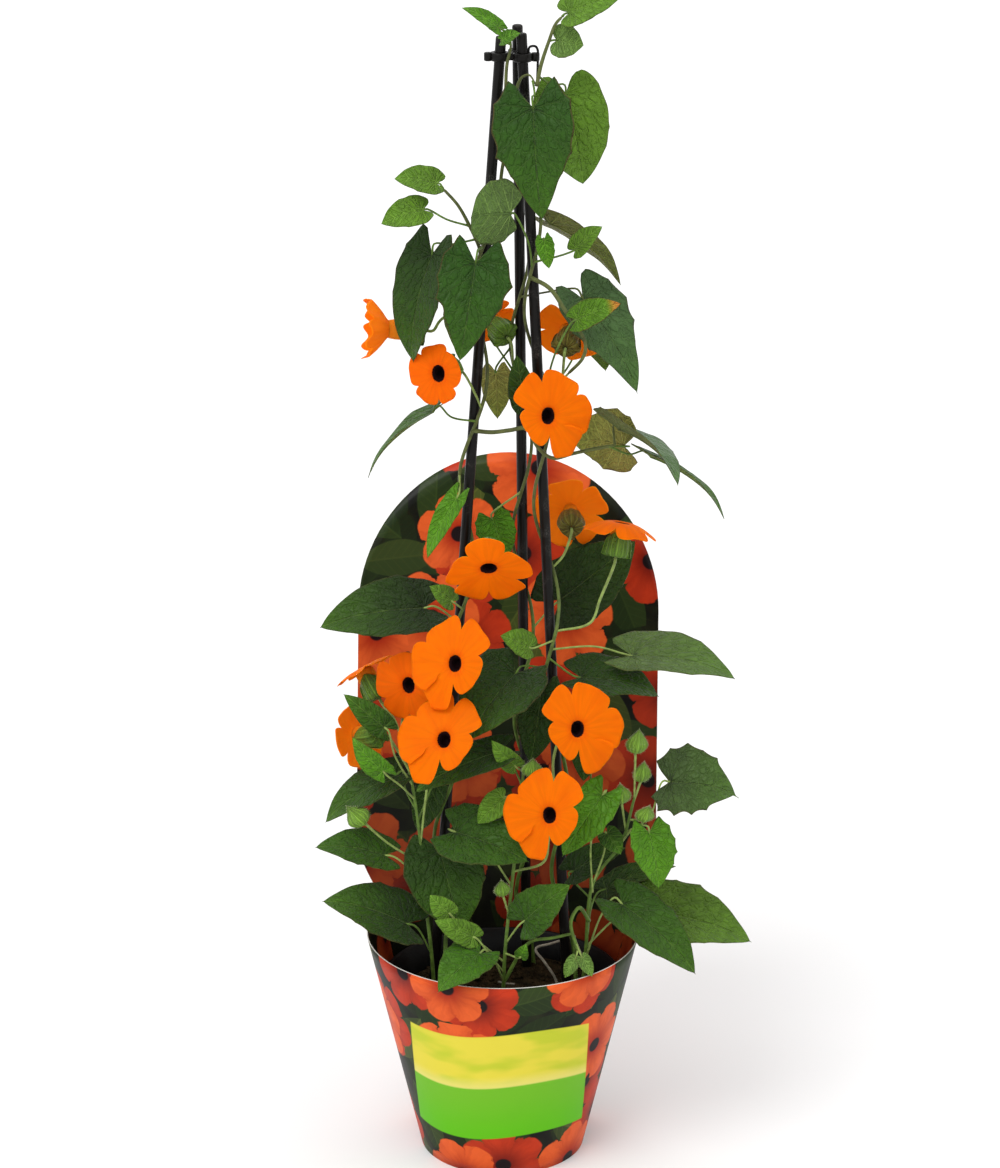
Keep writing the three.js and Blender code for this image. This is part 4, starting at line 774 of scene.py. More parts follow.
def add_corolla(shape, bloom, width, reflex, plan, roll, rand):
    """The five lobes and the tube behind them; a reflex below 0 makes the lobes reach forward."""
    half = width / 2
    lobes = LOBE_PLANS[plan]
    tint = FUNNEL_TINT if plan == "funnel" else PETAL_TINT
    ruffle = 1 - 8 * min(reflex, 0)
    power = 2 if reflex > 0 else 1.9
    row = (np.arange(LOBE_ROWS + 1) / LOBE_ROWS)[:, None]
    share = (1 - np.cos(math.pi * np.arange(LOBE_COLUMNS + 1) / LOBE_COLUMNS)) / 2
    share = 0.55 * share + 0.45 * np.arange(LOBE_COLUMNS + 1) / LOBE_COLUMNS
    middle = 4 * share * (1 - share)
    parts = []
    values = []
    faces = []
    for lobe, (start, notch, *reaches) in enumerate(lobes):
        end, next_notch = (lobes[lobe + 1][:2] if lobe < 4 else (lobes[0][0] + 360, lobes[0][1]))
        reach = np.interp(share, LOBE_CORNERS, reaches)
        opening = 1 - (1 - np.clip(share / CORNER, 0, 1)) ** 2.2
        closing = 1 - (1 - np.clip((1 - share) / CORNER, 0, 1)) ** 2.2
        rising = notch + (reach - notch) * opening
        falling = next_notch + (reach - next_notch) * closing
        phase = rand.uniform(0, TURN)
        wave = 1 + LOBE_WAVE * np.sin(TURN * 1.6 * share + phase) * middle
        margin = half * np.minimum(rising, falling) * wave
        over = np.clip((share - 0.72) / 0.28, 0, 1) ** 2 * (next_notch > OVERLAP)
        below = np.clip(1 - share / 0.4, 0, 1) ** 2 * (notch > OVERLAP)
        slit = smoothstep(0.3, 0.55, row)
        angle = np.radians(roll + start + share * (end - start))[None]
        angle = angle + LAP * over[None] * slit
        eye = EYE_R * oval(angle)
        radius = eye + (margin[None] - eye) * row ** 0.92
        far = radius / half
        z = 0.6 - reflex * half * far ** power - 1.4 * np.exp(-(radius - eye) / 1.3)
        z = z + 0.035 * half * ((2 * share - 1) ** 2 - 0.4)[None] * far ** 2
        ripple = (np.sin(TURN * 1.4 * share + 2 * phase) * middle)[None]
        z = z + RUFFLE * half * ruffle * ripple * far ** 3
        z = z + (1.3 * over - 0.35 * below)[None] * slit
        points = bloom.at(radius, angle, z).reshape(-1, 3)
        whole = np.broadcast_to(radius / eye * EYE_R, z.shape)
        turn = np.broadcast_to(angle, z.shape)
        values.append(np.stack([whole, np.cos(turn), np.sin(turn)], -1).reshape(-1, 3))
        faces.append(grid(LOBE_ROWS + 1, LOBE_COLUMNS + 1)[:, ::-1] + lobe * len(points))
        parts.append(points)
    points, triangles, rims, source, under = sheet(np.vstack(parts), np.vstack(faces), PETAL)
    plan_values = np.vstack(values)[source]
    look = np.column_stack([under, np.full(len(under), rand.uniform(0, 50)), np.zeros(len(under))])
    shape.add(points, triangles, rims, tint=tint, plan=plan_values, look=look)

    def around(radius, angle, z):
        return bloom.at(radius * oval(angle), angle, z)

    rim = -0.42 - reflex * half * (4.1 / half) ** power  # the lobes rest on it
    profile = [*TUBE_OUTSIDE, *((radius, rim) for radius in TUBE_RIM_R), *TUBE_INSIDE]
    points, triangles = turned(profile, TUBE_COLUMNS, around)
    shape.add(points, triangles, tint=TUBE_TINT, plan=(9, 0.5, 0.5), look=(1, 0, 0))


def add_throat(shape, bloom):
    """The dark lining of the throat."""

    def around(radius, angle, z):
        return bloom.at(radius * oval(angle) * (1 + 0.02 * math.sin(7 * angle)), angle, z)

    points, triangles = turned(LINING, TUBE_COLUMNS, around)
    shape.add(points, triangles, tint=EYE_TINT)


# ---- bracts and buds ----
BRACT_PROFILE = ([0, 0.05, 0.12, 0.25, 0.5, 0.8, 1], [1.1, 4.6, 6.1, 6.6, 6.5, 6, 5.2])  # radius along it
BRACT_COLUMNS = 27
BRACT_ROWS = 17
BRACT_GREEN = linear(92, 128, 36)
BRACT_BROWN = linear(104, 92, 30)
BROWN_BRACTED = ("bloom_05", "bloom_14")
BUD_OUTLINE = ([0, 0.05, 0.14, 0.3, 0.44, 0.62, 0.8, 0.93, 1],
    [0.14, 0.55, 0.84, 1.06, 1.08, 0.82, 0.42, 0.14, 0.03])  # shares of the half width along it
BUD_FLAT = 0.75  # depth of a bud for its width
BUD_COLUMNS = 40
BUD_ROWS = 25
BUD_HAIRS = 150
KEEL_HAIRS = 9  # in each row
BUD_TINT = linear(126, 170, 56)
HAIR_TINT = linear(206, 214, 164)


def add_bracts(shape, bloom, tint, rand):
    """The two keeled bracts that clasp a bloom's tube."""
    across = np.linspace(-1, 1, BRACT_COLUMNS)
    up = np.linspace(0, 1, BRACT_ROWS)[:, None]
    for number in range(2):
        top = -8.8 + 5.2 * (1 - np.abs(across)) ** 1.15
        z = -CALYX_LENGTH + 0.5 + up ** 1.15 * (top + CALYX_LENGTH - 0.5)[None]
        keel = np.exp(-(across / 0.1) ** 2)[None]
        keel = keel * np.sin(math.pi * np.clip(up * 0.9 + 0.08, 0, 1)) * 1.1
        angle = math.pi * number + across * (math.pi / 2 + 0.22)
        seam = smoothstep(0.62, 0.92, np.abs(across))[None]
        # The seams stand out in ridges that end in a corner at the foot.
        ears = seam * (1 + 1.1 * np.exp(-((up - 0.13) / 0.1) ** 2))
        radius = np.interp(up, *BRACT_PROFILE) * (1 + 0.12 * ears) + keel + 0.35 * number * seam
        radius = radius + 0.1 * np.sin(14 * across)[None] * up
        points = bloom.at(radius, np.broadcast_to(angle, radius.shape), z).reshape(-1, 3)
        points, triangles, rims, source, _ = sheet(points, grid(BRACT_ROWS, BRACT_COLUMNS), BLADE)
        veins = np.broadcast_to((across * 3.5)[None], radius.shape).ravel()[source]
        middle = np.broadcast_to(np.abs(across)[None] * 8, radius.shape).ravel()[source]
        rows = np.broadcast_to(up * 0.9, radius.shape).ravel()[source]
        offset = rand.uniform(0, 900)
        shape.add(points, triangles, rims, tint=tint, look=(0, 0.6, 0.2),
            veins=np.column_stack([veins, np.full(len(veins), 2.2), middle]),
            plan=np.column_stack([middle + offset, 16 * rows, rows]))


def add_bud(shape, stalks, route, base, tip, width, rand):
    """A flat four-cornered bud with two keels, its hairs and its stalk."""
    base, tip = vec(*base), vec(*tip)
    length = np.linalg.norm(tip - base)
    along = (tip - base) / length
    side = unit(vec(1, 0.2, 0) - along * (vec(1, 0.2, 0) @ along))
    third = np.cross(along, side)
    t = np.linspace(0, 1, BUD_ROWS)[:, None]
    angle = TURN * np.arange(BUD_COLUMNS)[None] / BUD_COLUMNS
    corners = (np.abs(np.cos(angle)) ** 1.3 + np.abs(np.sin(angle)) ** 1.3) ** (-1 / 1.3)
    section = 0.94 * corners + 0.1 * np.abs(np.cos(angle)) ** 12
    radius = np.interp(t, *BUD_OUTLINE) * width / 2 * section
    points = base + along * (t * length)[..., None] + side * (radius * np.cos(angle))[..., None]
    points = (points + third * (BUD_FLAT * radius * np.sin(angle))[..., None]).reshape(-1, 3)
    beside = width * np.abs(np.sin(angle)) * np.ones_like(t)
    veins = np.stack(np.broadcast_arrays(angle * 12 / TURN, 1.6, beside), -1)
    veins = np.vstack([veins.reshape(-1, 3), [[0, 1, 5], [0, 1, 5]]])
    rows = np.concatenate([np.broadcast_to(t * 0.9, radius.shape).ravel(), [0, 0.9]])
    plan = np.column_stack([veins[:, 0] * 3 + rand.uniform(0, 900), rows * length, rows])
    whole = np.vstack([points, base - along * 0.3, tip + along * 0.2])
    triangles = capped(BUD_ROWS, BUD_COLUMNS)
    shape.add(whole, triangles, tint=BUD_TINT, veins=veins, plan=plan, look=(0, 0.5, 0))
    stalk = smooth_route([*route, base + along * 0.6], 1.5)
    stalks.add(*tube(stalk, np.linspace(0.5, 0.75, len(stalk)), 8), tint=PALE_STALK)
    # Hairs stand all over it, and closest along the two keels.
    keels = []
    for row in range(1, BUD_ROWS):
        for _ in range(KEEL_HAIRS):
            keel = BUD_COLUMNS // 2 * rand.randrange(2)
            keels.append(row * BUD_COLUMNS + keel + rand.randrange(-1, 2))
    chosen = [rand.randrange(len(points)) for _ in range(BUD_HAIRS)] + keels
    centre = base + along * length * 0.45
    hairs(stalks, points[chosen], points[chosen] - centre, 1.0, HAIR_TINT, rand)
    furry(stalks, stalk, 0.65, 2.2, rand)


# ---- stems ----
def furry(stalks, path, radius, density, rand):
    """Short hairs along a young stalk, so many for each millimetre."""
    roots, directions = [], []
    for before, after in zip(path, path[1:]):
        along = unit(after - before)
        for _ in range(round(density * np.linalg.norm(after - before) + rand.uniform(-0.5, 0.5))):
            side = vec(*(rand.uniform(-1, 1) for _ in range(3)))
            side = unit(side - along * (side @ along))
            roots.append(before + (after - before) * rand.random() + side * 0.9 * radius)
            directions.append(side)
    hairs(stalks, roots, directions, 0.7, HAIR_TINT, rand)


def add_stem(stalks, route, rand):
    """A stem, thinner and browner towards its top."""
    path = smooth_route(route, 1.6)
    share = np.linspace(0, 1, len(path))
    radii = STEM_R * (1.08 - 0.3 * share) * (1 - 0.5 * smoothstep(0.97, 1, share))
    radii = radii * np.array([1 + 0.06 * wander(0.11 * p[0], 0.11 * p[1], 0.09 * p[2]) for p in path])
    points, triangles = tube(path, radii, 12, ridges=0.07)
    tint = blended(GREEN_STALK, BROWN_STALK, smoothstep(190, 420, points[:, 2])[:, None])
    stalks.add(points, triangles, tint=tint)


# ---- materials ----
class Value:
    """A number or vector that runs through a material's nodes; sums with numbers become Math nodes."""

    def __init__(self, graph, socket):
        self.graph = graph
        self.socket = socket

    def __add__(self, other):
        return self.graph.math("ADD", self, other)

    def __sub__(self, other):
        return self.graph.math("SUBTRACT", self, other)

    def __rsub__(self, other):
        return self.graph.math("SUBTRACT", other, self)

    def __mul__(self, other):
        return self.graph.math("MULTIPLY", self, other)

    def __truediv__(self, other):
        return self.graph.math("DIVIDE", self, other)

    def __abs__(self):
        return self.graph.math("ABSOLUTE", self)


class Graph:
    """The nodes of one material."""

    def __init__(self, name, **sockets):
        self.material = bpy.data.materials.new(name)
        self.material.use_nodes = True
        self.tree = self.material.node_tree
        self.shader = self.tree.nodes["Principled BSDF"]
        for socket, value in sockets.items():
            self.shader.inputs[socket.replace("_", " ")].default_value = value

    def add(self, kind, inputs, output=0, **settings):
        """Adds a node with its inputs, by name or place, and gives one of its outputs."""
        node = self.tree.nodes.new("ShaderNode" + kind)
        for name, value in settings.items():
            setattr(node, name, value)
        for place, value in inputs.items():
            socket = node.inputs[place]
            if isinstance(value, Value):
                self.tree.links.new(value.socket, socket)
            elif socket.type == "RGBA":
                socket.default_value = (*value, 1)
            else:
                socket.default_value = value
        return Value(self, node.outputs[output])

    def values(self, name):
        return self.add("Attribute", {}, 1, attribute_name=name)

    def place(self):
        return self.add("NewGeometry", {}, "Position")

    def parts(self, vector):
        outputs = self.add("SeparateXYZ", {0: vector}).socket.node.outputs
        return [Value(self, output) for output in outputs]

    def joined(self, x, y, z=0.0):
        return self.add("CombineXYZ", {0: x, 1: y, 2: z})

    def math(self, operation, *values):
        return self.add("Math", dict(enumerate(values)), operation=operation)

    def larger(self, first, second):
        return self.math("MAXIMUM", first, second)

    def mix(self, share, low, high):
        return self.add("Mix", {0: share, 6: low, 7: high}, 2, data_type="RGBA")

    def scaled(self, vector, factor):
        return self.add("VectorMath", {0: vector, 3: factor}, operation="SCALE")

    def mottled(self, tint, cloud, dim, bright):
        """A colour that a noise makes darker and lighter."""
        return self.mix(self.rise(cloud, 0.3, 0.7), self.scaled(tint, dim), self.scaled(tint, bright))

    def rise(self, value, low, high, start=0.0, end=1.0):
        """A smooth step from start to end while the value goes from low to high."""
        inputs = {0: value, 1: low, 2: high, 3: start, 4: end}
        return self.add("MapRange", inputs, interpolation_type="SMOOTHSTEP")

    def fall(self, value, low, high):
        return self.rise(value, low, high, 1.0, 0.0)

    def noise(self, vector, scale, detail=3.0):
        return self.add("TexNoise", {"Vector": vector, "Scale": scale, "Detail": detail})

    def set(self, socket, value):
        self.tree.links.new(value.socket, self.shader.inputs[socket])

    def bump(self, height, distance, strength=1.0):
        inputs = {"Height": height, "Distance": distance, "Strength": strength}
        self.set("Normal", self.add("Bump", inputs))


def blade_material():
    """Leaves, bracts and buds: veins in the way the blade's own values say, net, mottling and margin."""
    g = Graph("leaf_blade", Specular_IOR_Level=0.16, Sheen_Weight=0.04, Sheen_Roughness=0.5)
    tint = g.values("tint")
    plan = g.values("plan")
    vein, span, across = g.parts(g.values("veins"))
    _, _, row = g.parts(plan)
    under, clear, edge = g.parts(g.values("look"))
    away = abs(vein - g.math("ROUND", vein)) * span
    width = (row * -0.22 + 0.42) * (clear * 0.8 + 0.9)
    branch = g.fall(away, width * 0.2, width)
    midrib = g.fall(across, 0.15, 0.55)
    wobble = g.noise(plan, 0.35, 2) * 1.1
    crossed = g.joined(across * 0.21 + wobble, vein * 1.7 + wobble)
    inputs = {"Vector": crossed, "Scale": 1.0, "Randomness": 0.8}
    pillows = g.add("TexVoronoi", inputs, voronoi_dimensions="2D", feature="DISTANCE_TO_EDGE")
    net = g.fall(pillows, 0.015, 0.09)
    colour = g.mottled(tint, g.noise(plan, 0.13, 4), 0.84, 1.14)
    # On dim blades the side veins and the net are painted darker: painted shade in the grooves they lie in
    # on the upper side, and the same darker lines on the under side.
    dimmed = g.larger(net, branch) * (clear * -0.6 + 0.5)
    colour = g.mix(dimmed, colour, g.scaled(tint, 0.4))
    pale = g.mix(0.25, g.scaled(tint, 1.9), linear(160, 184, 96))
    lines = g.larger(branch * clear, midrib * 0.6)
    lines = g.larger(lines, net * (clear * 0.3))
    colour = g.mix(lines * 0.8, colour, pale)
    border = g.rise(row, 0.955, 0.99) * (edge * 0.8)
    g.set("Base Color", g.mix(border, colour, linear(98, 58, 40)))
    fine = g.noise(plan, 1.4, 3)
    g.set("Roughness", g.rise(under * 0.4 + fine, 0.2, 1.1, 0.36, 0.66))
    # The veins and their net lie in grooves above and stand up underneath.
    grooves = g.larger(g.larger(branch, midrib), g.fall(pillows, 0.0, 0.3))
    g.bump(fine * 0.25 + grooves * (under * 2.0 - 1.0), 0.0009, 0.9)
    return g.material


def stalk_material():
    g = Graph("stalk", Specular_IOR_Level=0.2, Sheen_Weight=0.06, Sheen_Roughness=0.4)
    mottle = g.noise(g.place(), 260.0, 4)
    g.set("Base Color", g.mottled(g.values("tint"), mottle, 0.7, 1.2))
    g.set("Roughness", g.rise(mottle, 0.2, 0.8, 0.42, 0.62))
    g.bump(g.noise(g.place(), 1800.0, 2), 0.00015, 0.6)
    return g.material


def petal_material():
    """Orange lobes with fine rays, and the dark eye's ragged border round the throat."""
    g = Graph("petal", Specular_IOR_Level=0.04, Subsurface_Weight=0.5, Subsurface_Scale=0.003,
        Subsurface_Radius=(1.0, 0.5, 0.1))
    radius, x, y = g.parts(g.values("plan"))
    under, seed, _ = g.parts(g.values("look"))
    depth = radius * 0.05 + seed
    rays = g.noise(g.joined(x * 7.0, y * 7.0, depth), 1.0, 4)
    patches = g.noise(g.joined(x * 1.6, y * 1.6, depth), 1.0, 2)
    colour = g.mottled(g.values("tint"), rays, 0.99, 1.12)
    colour = g.mix(g.rise(patches, 0.42, 0.7, 0.0, 0.35), colour, linear(244, 94, 2))
    colour = g.mix(g.fall(radius, 4.0, 8.5), colour, g.mix(0.35, colour, linear(222, 70, 2)))
    # The under side is painted paler: painted light, standing in for light shining through the lobes.
    colour = g.mix(under * 0.5, colour, linear(250, 138, 30))
    limit = rays + 3.45
    eye = g.fall(radius, limit, limit + 0.3) * (1.0 - under)
    g.set("Base Color", g.mix(eye, colour, EYE_TINT))
    g.set("Roughness", g.rise(rays, 0.3, 0.7, 0.56, 0.7))
    g.bump(rays + patches * 0.5, 0.00025, 0.5)
    return g.material


def throat_material():
    g = Graph("bloom_throat", Specular_IOR_Level=0.05)
    mottle = g.noise(g.place(), 700.0, 3)
    g.set("Base Color", g.mix(g.rise(mottle, 0.35, 0.7), linear(20, 8, 11), linear(36, 15, 19)))
    g.set("Roughness", g.rise(mottle, 0.2, 0.8, 0.6, 0.8))
    g.bump(mottle, 0.0002, 0.5)
    return g.material


def plastic_material(name, dark, worn, scale):
    """Black moulded plastic, a little scuffed."""
    g = Graph(name, Specular_IOR_Level=0.14)
    cloud = g.noise(g.place(), scale, 4)
    grain = g.noise(g.place(), 1500.0, 2)
    scuff = g.rise(cloud, 0.52, 0.72) * g.rise(grain, 0.4, 0.7)
    g.set("Base Color", g.mix(scuff, dark, worn))
    g.set("Roughness", g.rise(cloud + scuff, 0.3, 1.4, 0.3, 0.62))
    g.bump(grain + cloud * 2.0, 0.0002, 0.5)
    return g.material


def soil_material():
    g = Graph("soil_crumbs", Specular_IOR_Level=0.03)
    cloud = g.noise(g.place(), 160.0, 5)
    fibres = g.noise(g.place(), 900.0, 4)
    colour = g.mix(g.rise(cloud, 0.3, 0.7), linear(30, 26, 17), linear(62, 50, 33))
    g.set("Base Color", g.mix(g.rise(fibres, 0.64, 0.78, 0.0, 0.5), colour, linear(96, 78, 48)))
    g.set("Roughness", g.rise(fibres, 0.3, 0.7, 0.85, 1.0))
    g.bump(cloud + fibres, 0.0015, 0.8)
    return g.material


def scattered(g, flat, spacing, randomness, shift):
    """One layer of scattered things: (the shifted plane, the way from the nearest one, its own numbers)."""
    moved = g.add("VectorMath", {0: flat, 1: (*shift, 0.0)}, operation="ADD")
    inputs = {"Vector": moved, "Scale": 1 / spacing, "Randomness": randomness}
    centre = g.add("TexVoronoi", inputs, "Position", voronoi_dimensions="2D")
    away = g.add("VectorMath", {0: moved, 1: centre}, operation="SUBTRACT")
    return moved, away, g.parts(Value(g, centre.socket.node.outputs["Color"]))


def blossoms(g, flat, spacing, radius, shift):
    """One layer of printed blossoms: (where they are, where their centres are, their shading)."""
    moved, away, (turn, pick, _) = scattered(g, flat, spacing, 0.62, shift)
    x, y, _ = g.parts(away)
    distance = g.math("SQRT", x * x + y * y)
    angle = g.math("ARCTAN2", y, x) + (g.noise(moved, 0.16, 3) * 0.5 + turn * 6.28)
    lobes = g.math("POWER", abs(g.math("COSINE", angle * 3.0)), 0.45)
    reach = (lobes * 0.3 + 0.7) * ((pick * 0.25 + 0.85) * radius)
    share = distance / reach
    rays = g.noise(g.joined(angle * 5.0, distance * 0.06, pick), 1.0, 3)
    light = g.rise(share, 0.05, 0.75) * (lobes * 0.45 + 0.55)
    shading = light * g.rise(rays, 0.25, 0.7, 0.7, 1.0)
    return g.fall(share, 0.97, 1.01), g.fall(distance, 3.9, 5.0), shading


def printed_leaves(g, flat, spacing, half_length, shift):
    """One layer of printed leaves, each turned its own way: (where they are, their shading)."""
    _, away, (tone, slant, _) = scattered(g, flat, spacing, 0.8, shift)
    inputs = {"Vector": away, "Angle": slant * 6.28}
    along, beside, _ = g.parts(g.add("VectorRotate", inputs, rotation_type="Z_AXIS"))
    halves = g.rise(beside, -0.6, 0.6, 0.15, 0.5)
    beside = abs(beside)
    place = along / half_length
    taper = g.larger(1.0 - place * place, 0.001)
    share = beside / (taper * (0.44 * half_length))
    stripes = g.math("SINE", (beside * -0.8 + along) * 1.3)
    ribs = g.larger(g.fall(beside, 0.2, 0.8), g.rise(stripes, 0.75, 1.0, 0.0, 0.5))
    return g.fall(share, 0.95, 1.02), (halves + ribs * 0.5) * (tone * 0.8 + 0.2)


# The layers of the print, from the back: [spacing, size, shift, dark colour, light colour].
LEAF_PRINTS = [
    (33, 21, (300, 90), linear(24, 34, 14), linear(40, 56, 22)),
    (38, 25, (150, 210), linear(30, 46, 18), linear(66, 84, 34)),
    (52, 24, (80, 40), linear(44, 60, 24), linear(104, 112, 46)),
]
BLOSSOM_PRINTS = [
    (62, 25, (31, 17), linear(120, 22, 8), linear(206, 58, 24)),
    (66, 28, (112, 74), linear(168, 34, 10), linear(246, 104, 44)),
]


def card_material():
    """Glossy card: orange blossoms on dark leaves, and a bare yellow and green patch in front."""
    g = Graph("printed_card", Specular_IOR_Level=0.08, Coat_Weight=0.12, Coat_Roughness=0.2,
        Roughness=0.5)
    flat = g.values("plan")
    _, inside, _ = g.parts(g.values("look"))
    u, v, _ = g.parts(flat)
    blur = g.noise(flat, 0.05, 3)
    colour = g.mix(g.rise(blur, 0.35, 0.7), linear(12, 14, 9), linear(34, 40, 18))
    for spacing, half_length, shift, dim, lit in LEAF_PRINTS:
        where, tone = printed_leaves(g, flat, spacing, half_length, shift)
        colour = g.mix(where, colour, g.mix(tone, dim, lit))
    for spacing, radius, shift, deep, bright in BLOSSOM_PRINTS:
        where, middle, shading = blossoms(g, flat, spacing, radius, shift)
        flower = g.mix(middle, g.mix(shading, deep, bright), linear(22, 10, 14))
        colour = g.mix(where, colour, flower)
    # The patch: its top and foot are arched and a little wavy.
    band = v - g.math("SINE", u * 0.055) * 2.5 + u * u * 0.0024
    soft = g.noise(g.joined(u * 0.4, band), 0.06, 2)
    yellow = g.mix(g.rise(soft, 0.42, 0.62), linear(240, 224, 72), linear(206, 214, 54))
    yellow = g.mix(g.fall(band, 62.0, 72.0), yellow, linear(244, 232, 124))
    green = g.mix(g.rise(band, 26.0, 62.0), linear(102, 200, 18), linear(120, 196, 40))
    patch = g.mix(g.rise(band, 62.0, 63.5), green, yellow)
    within = g.rise(band, 26.0, 27.0) * g.fall(band, 99.0, 100.0) * g.fall(abs(u), 54.0, 55.0)
    colour = g.mix(within * (1.0 - inside), colour, patch)
    # The inside is darker towards its foot: painted shade where the foliage shades the card.
    dim = g.fall(v, 130.0, 300.0) * (inside * 0.6)
    g.set("Base Color", g.mix(dim, colour, linear(14, 12, 8)))
    g.bump(g.noise(flat, 0.03, 2), 0.004, 0.35)
    return g.material


def edge_material():
    """The white core of the card, seen where it is cut."""
    g = Graph("card_edge", Specular_IOR_Level=0.2, Roughness=0.8)
    fibres = g.noise(g.place(), 900.0, 3)
    g.set("Base Color", g.mix(fibres, linear(214, 210, 200), linear(240, 238, 232)))
    return g.material


BLADES = blade_material()
STALKS = stalk_material()
PETALS = petal_material()
THROATS = throat_material()
CANE_PLASTIC = plastic_material("cane_plastic", linear(20, 18, 16), linear(76, 74, 70), 90.0)
POT_PLASTIC = plastic_material("pot_plastic", linear(16, 16, 16), linear(40, 40, 38), 40.0)
SOIL_CRUMBS = soil_material()
PRINTED_CARD = card_material()
CARD_EDGE = edge_material()



# ---- the plant ----
def routed(vine, route):
    """A route with each bare number made the point at that height on the vine's main stem."""
    return [p if isinstance(p, list) else vine["place"](p) for p in route]


for number, vine in enumerate(VINES):
    rand = random.Random(7100 + number)
    blades = Shape()
    stalks = Shape()
    for route in vine["stems"]:
        add_stem(stalks, routed(vine, route), rand)
    for (route, *leaf), look_name in zip(vine["leaves"], vine["looks"].split(), strict=True):
        add_leaf(blades, stalks, routed(vine, route), *leaf, look_name, rand)
    for route, *bud in vine["buds"]:
        add_bud(blades, stalks, routed(vine, route), *bud, rand)
    for name, route, throat, facing, width, reflex, plan, roll in vine["blooms"]:
        bloom = BloomFrame(throat, facing)
        tint = BRACT_BROWN if name in BROWN_BRACTED else BRACT_GREEN
        add_bracts(blades, bloom, tint, rand)
        behind, end = bloom.at(0, 0, -CALYX_LENGTH - 3.5), bloom.at(0, 0, -CALYX_LENGTH + 0.6)
        path = smooth_route([*routed(vine, route), behind, end], 1.6)
        stalks.add(*tube(path, np.linspace(0.62, 0.8, len(path)), 10, ridges=0.06), tint=PALE_STALK)
        furry(stalks, path, 0.7, 1.2, rand)
        corolla = Shape()
        add_corolla(corolla, bloom, width, reflex, plan, roll, rand)
        corolla.piece(name + "_corolla", [PETALS], "petals", name)
        throat_lining = Shape()
        add_throat(throat_lining, bloom)
        throat_lining.piece(name + "_throat", [THROATS], "bloom_eyes", name + "_eye")
    blades.piece(vine["name"] + "_blades", [BLADES], "foliage", vine["name"])
    stalks.piece(vine["name"] + "_stalks", [STALKS], "foliage", vine["name"])


# ---- the canes and their clip ----
def slanted(foot, top):
    """Places a turned solid along a cane, with heights measured from its foot."""
    up = unit(top - foot)
    side = unit(np.cross(up, vec(0, 1, 0)))
    third = np.cross(up, side)

    def at(radius, angle, z):
        return foot + side * radius * math.cos(angle) + third * radius * math.sin(angle) + up * z

    return at


CANE_STEPS = 120
for side, (foot, top) in CANES.items():
    length = np.linalg.norm(top - foot)
    profile = [(0, 0), (CANE_R * 0.8, 0.1), (CANE_R, 1)]
    for i in range(1, CANE_STEPS):
        z = 1 + (length - 2.2) * i / CANE_STEPS
        profile.append((CANE_R * (1 + 0.012 * wander(0.05 * z, len(side), 0.4)), z))
    for share, below in ((1, 1.2), (0.93, 0.45), (0.72, 0.08), (0, 0)):
        profile.append((CANE_R * share, length - below))
    cane = Shape()
    cane.add(*turned(profile, 24, slanted(foot, top)))
    cane.piece("cane_" + side + "_rod", [CANE_PLASTIC], "cane_plastic", "cane_" + side)


def mirrored(profile):
    """A profile from its lower half: the same again above, in the other order."""
    return profile + [(radius, -z) for radius, z in reversed(profile)]


def rounded_block(centre, half_x, half_y, half_z):
    """The profile, number of segments and placing of a block with rounded edges."""

    def at(radius, angle, z):
        x, y = (math.copysign(abs(n) ** 0.3, n) for n in (math.cos(angle), math.sin(angle)))
        return vec(centre[0] + half_x * radius * x, centre[1] + half_y * radius * y, centre[2] + z)

    return mirrored([(0, -half_z), (0.86, -half_z), (1, -half_z + 0.35)]), 40, at


CLIP_BORE_R = CANE_R + 0.3
CLIP_RING_R = CANE_R + 2.25
KNOB_R = 2.2
KNOBS_X = (-7.4, 17)
BAR = (5.6, -1.2)  # the middle of the clip's bar, with a rib behind it
half = CLIP_H / 2
ring = mirrored([(CLIP_BORE_R, -half + 0.4), (CLIP_BORE_R + 0.4, -half), (CLIP_RING_R - 0.5, -half),
    (CLIP_RING_R, -half + 0.5)])
knob = mirrored([(0, -half), (KNOB_R - 0.4, -half), (KNOB_R, -half + 0.4)])
clip = Shape()
for side in CANES:
    x, y, _ = cane_at(side, CLIP_Z)
    clip.add(*turned([(r, CLIP_Z + z) for r, z in ring + ring[:1]], 40, upright(x, y)))
clip.add(*turned(*rounded_block((*BAR, CLIP_Z), 11.7, 1.3, 0.4 * CLIP_H)))
clip.add(*turned(*rounded_block((BAR[0], 3, CLIP_Z), 1.5, 3, 0.4 * CLIP_H)))
for x in KNOBS_X:
    clip.add(*turned([(r, CLIP_Z + z) for r, z in knob], 24, upright(x, BAR[1])))
wire = smooth_route([[13.4, -1.6, 624], [14, -1.6, 627.6], [17, -1.6, 628], [18.2, -1.6, 626],
    [18.2, -1.6, 618], [18, -1.6, 611]], 0.6)
clip.add(*tube(wire, 0.65, 12))
clip.piece("cane_clip_rings", [CANE_PLASTIC], "cane_plastic", "cane_clip")


# ---- the inner pot and its soil ----
LIP_FOOT = POT_H - LIP_H
POT_SLOPE = (POT_SHOULDER_R - POT_FOOT_R) / LIP_FOOT
SLEEVE_SLOPE = (RIM_R - FOOT_R) / RIM_Z
LIP_R = FOOT_R + SLEEVE_SLOPE * POT_H - 1.1
DRAIN_R = 4
DRAINS_R = 32  # how far from the middle they are
DRAINS = 6


def wall_inside(z):
    return POT_FOOT_R - POT_WALL + POT_SLOPE * (z - POT_FLOOR)


def applied(piece, cutters):
    """Cuts the other shapes out of a piece for good."""
    for number, cutter in enumerate(cutters):
        modifier = piece.modifiers.new("cut_%d" % number, "BOOLEAN")
        modifier.operation = "DIFFERENCE"
        modifier.solver = "EXACT"
        modifier.object = cutter
    cut = bpy.data.meshes.new_from_object(piece.evaluated_get(bpy.context.evaluated_depsgraph_get()))
    piece.modifiers.clear()
    piece.data = cut
    for cutter in cutters:
        bpy.data.objects.remove(cutter)


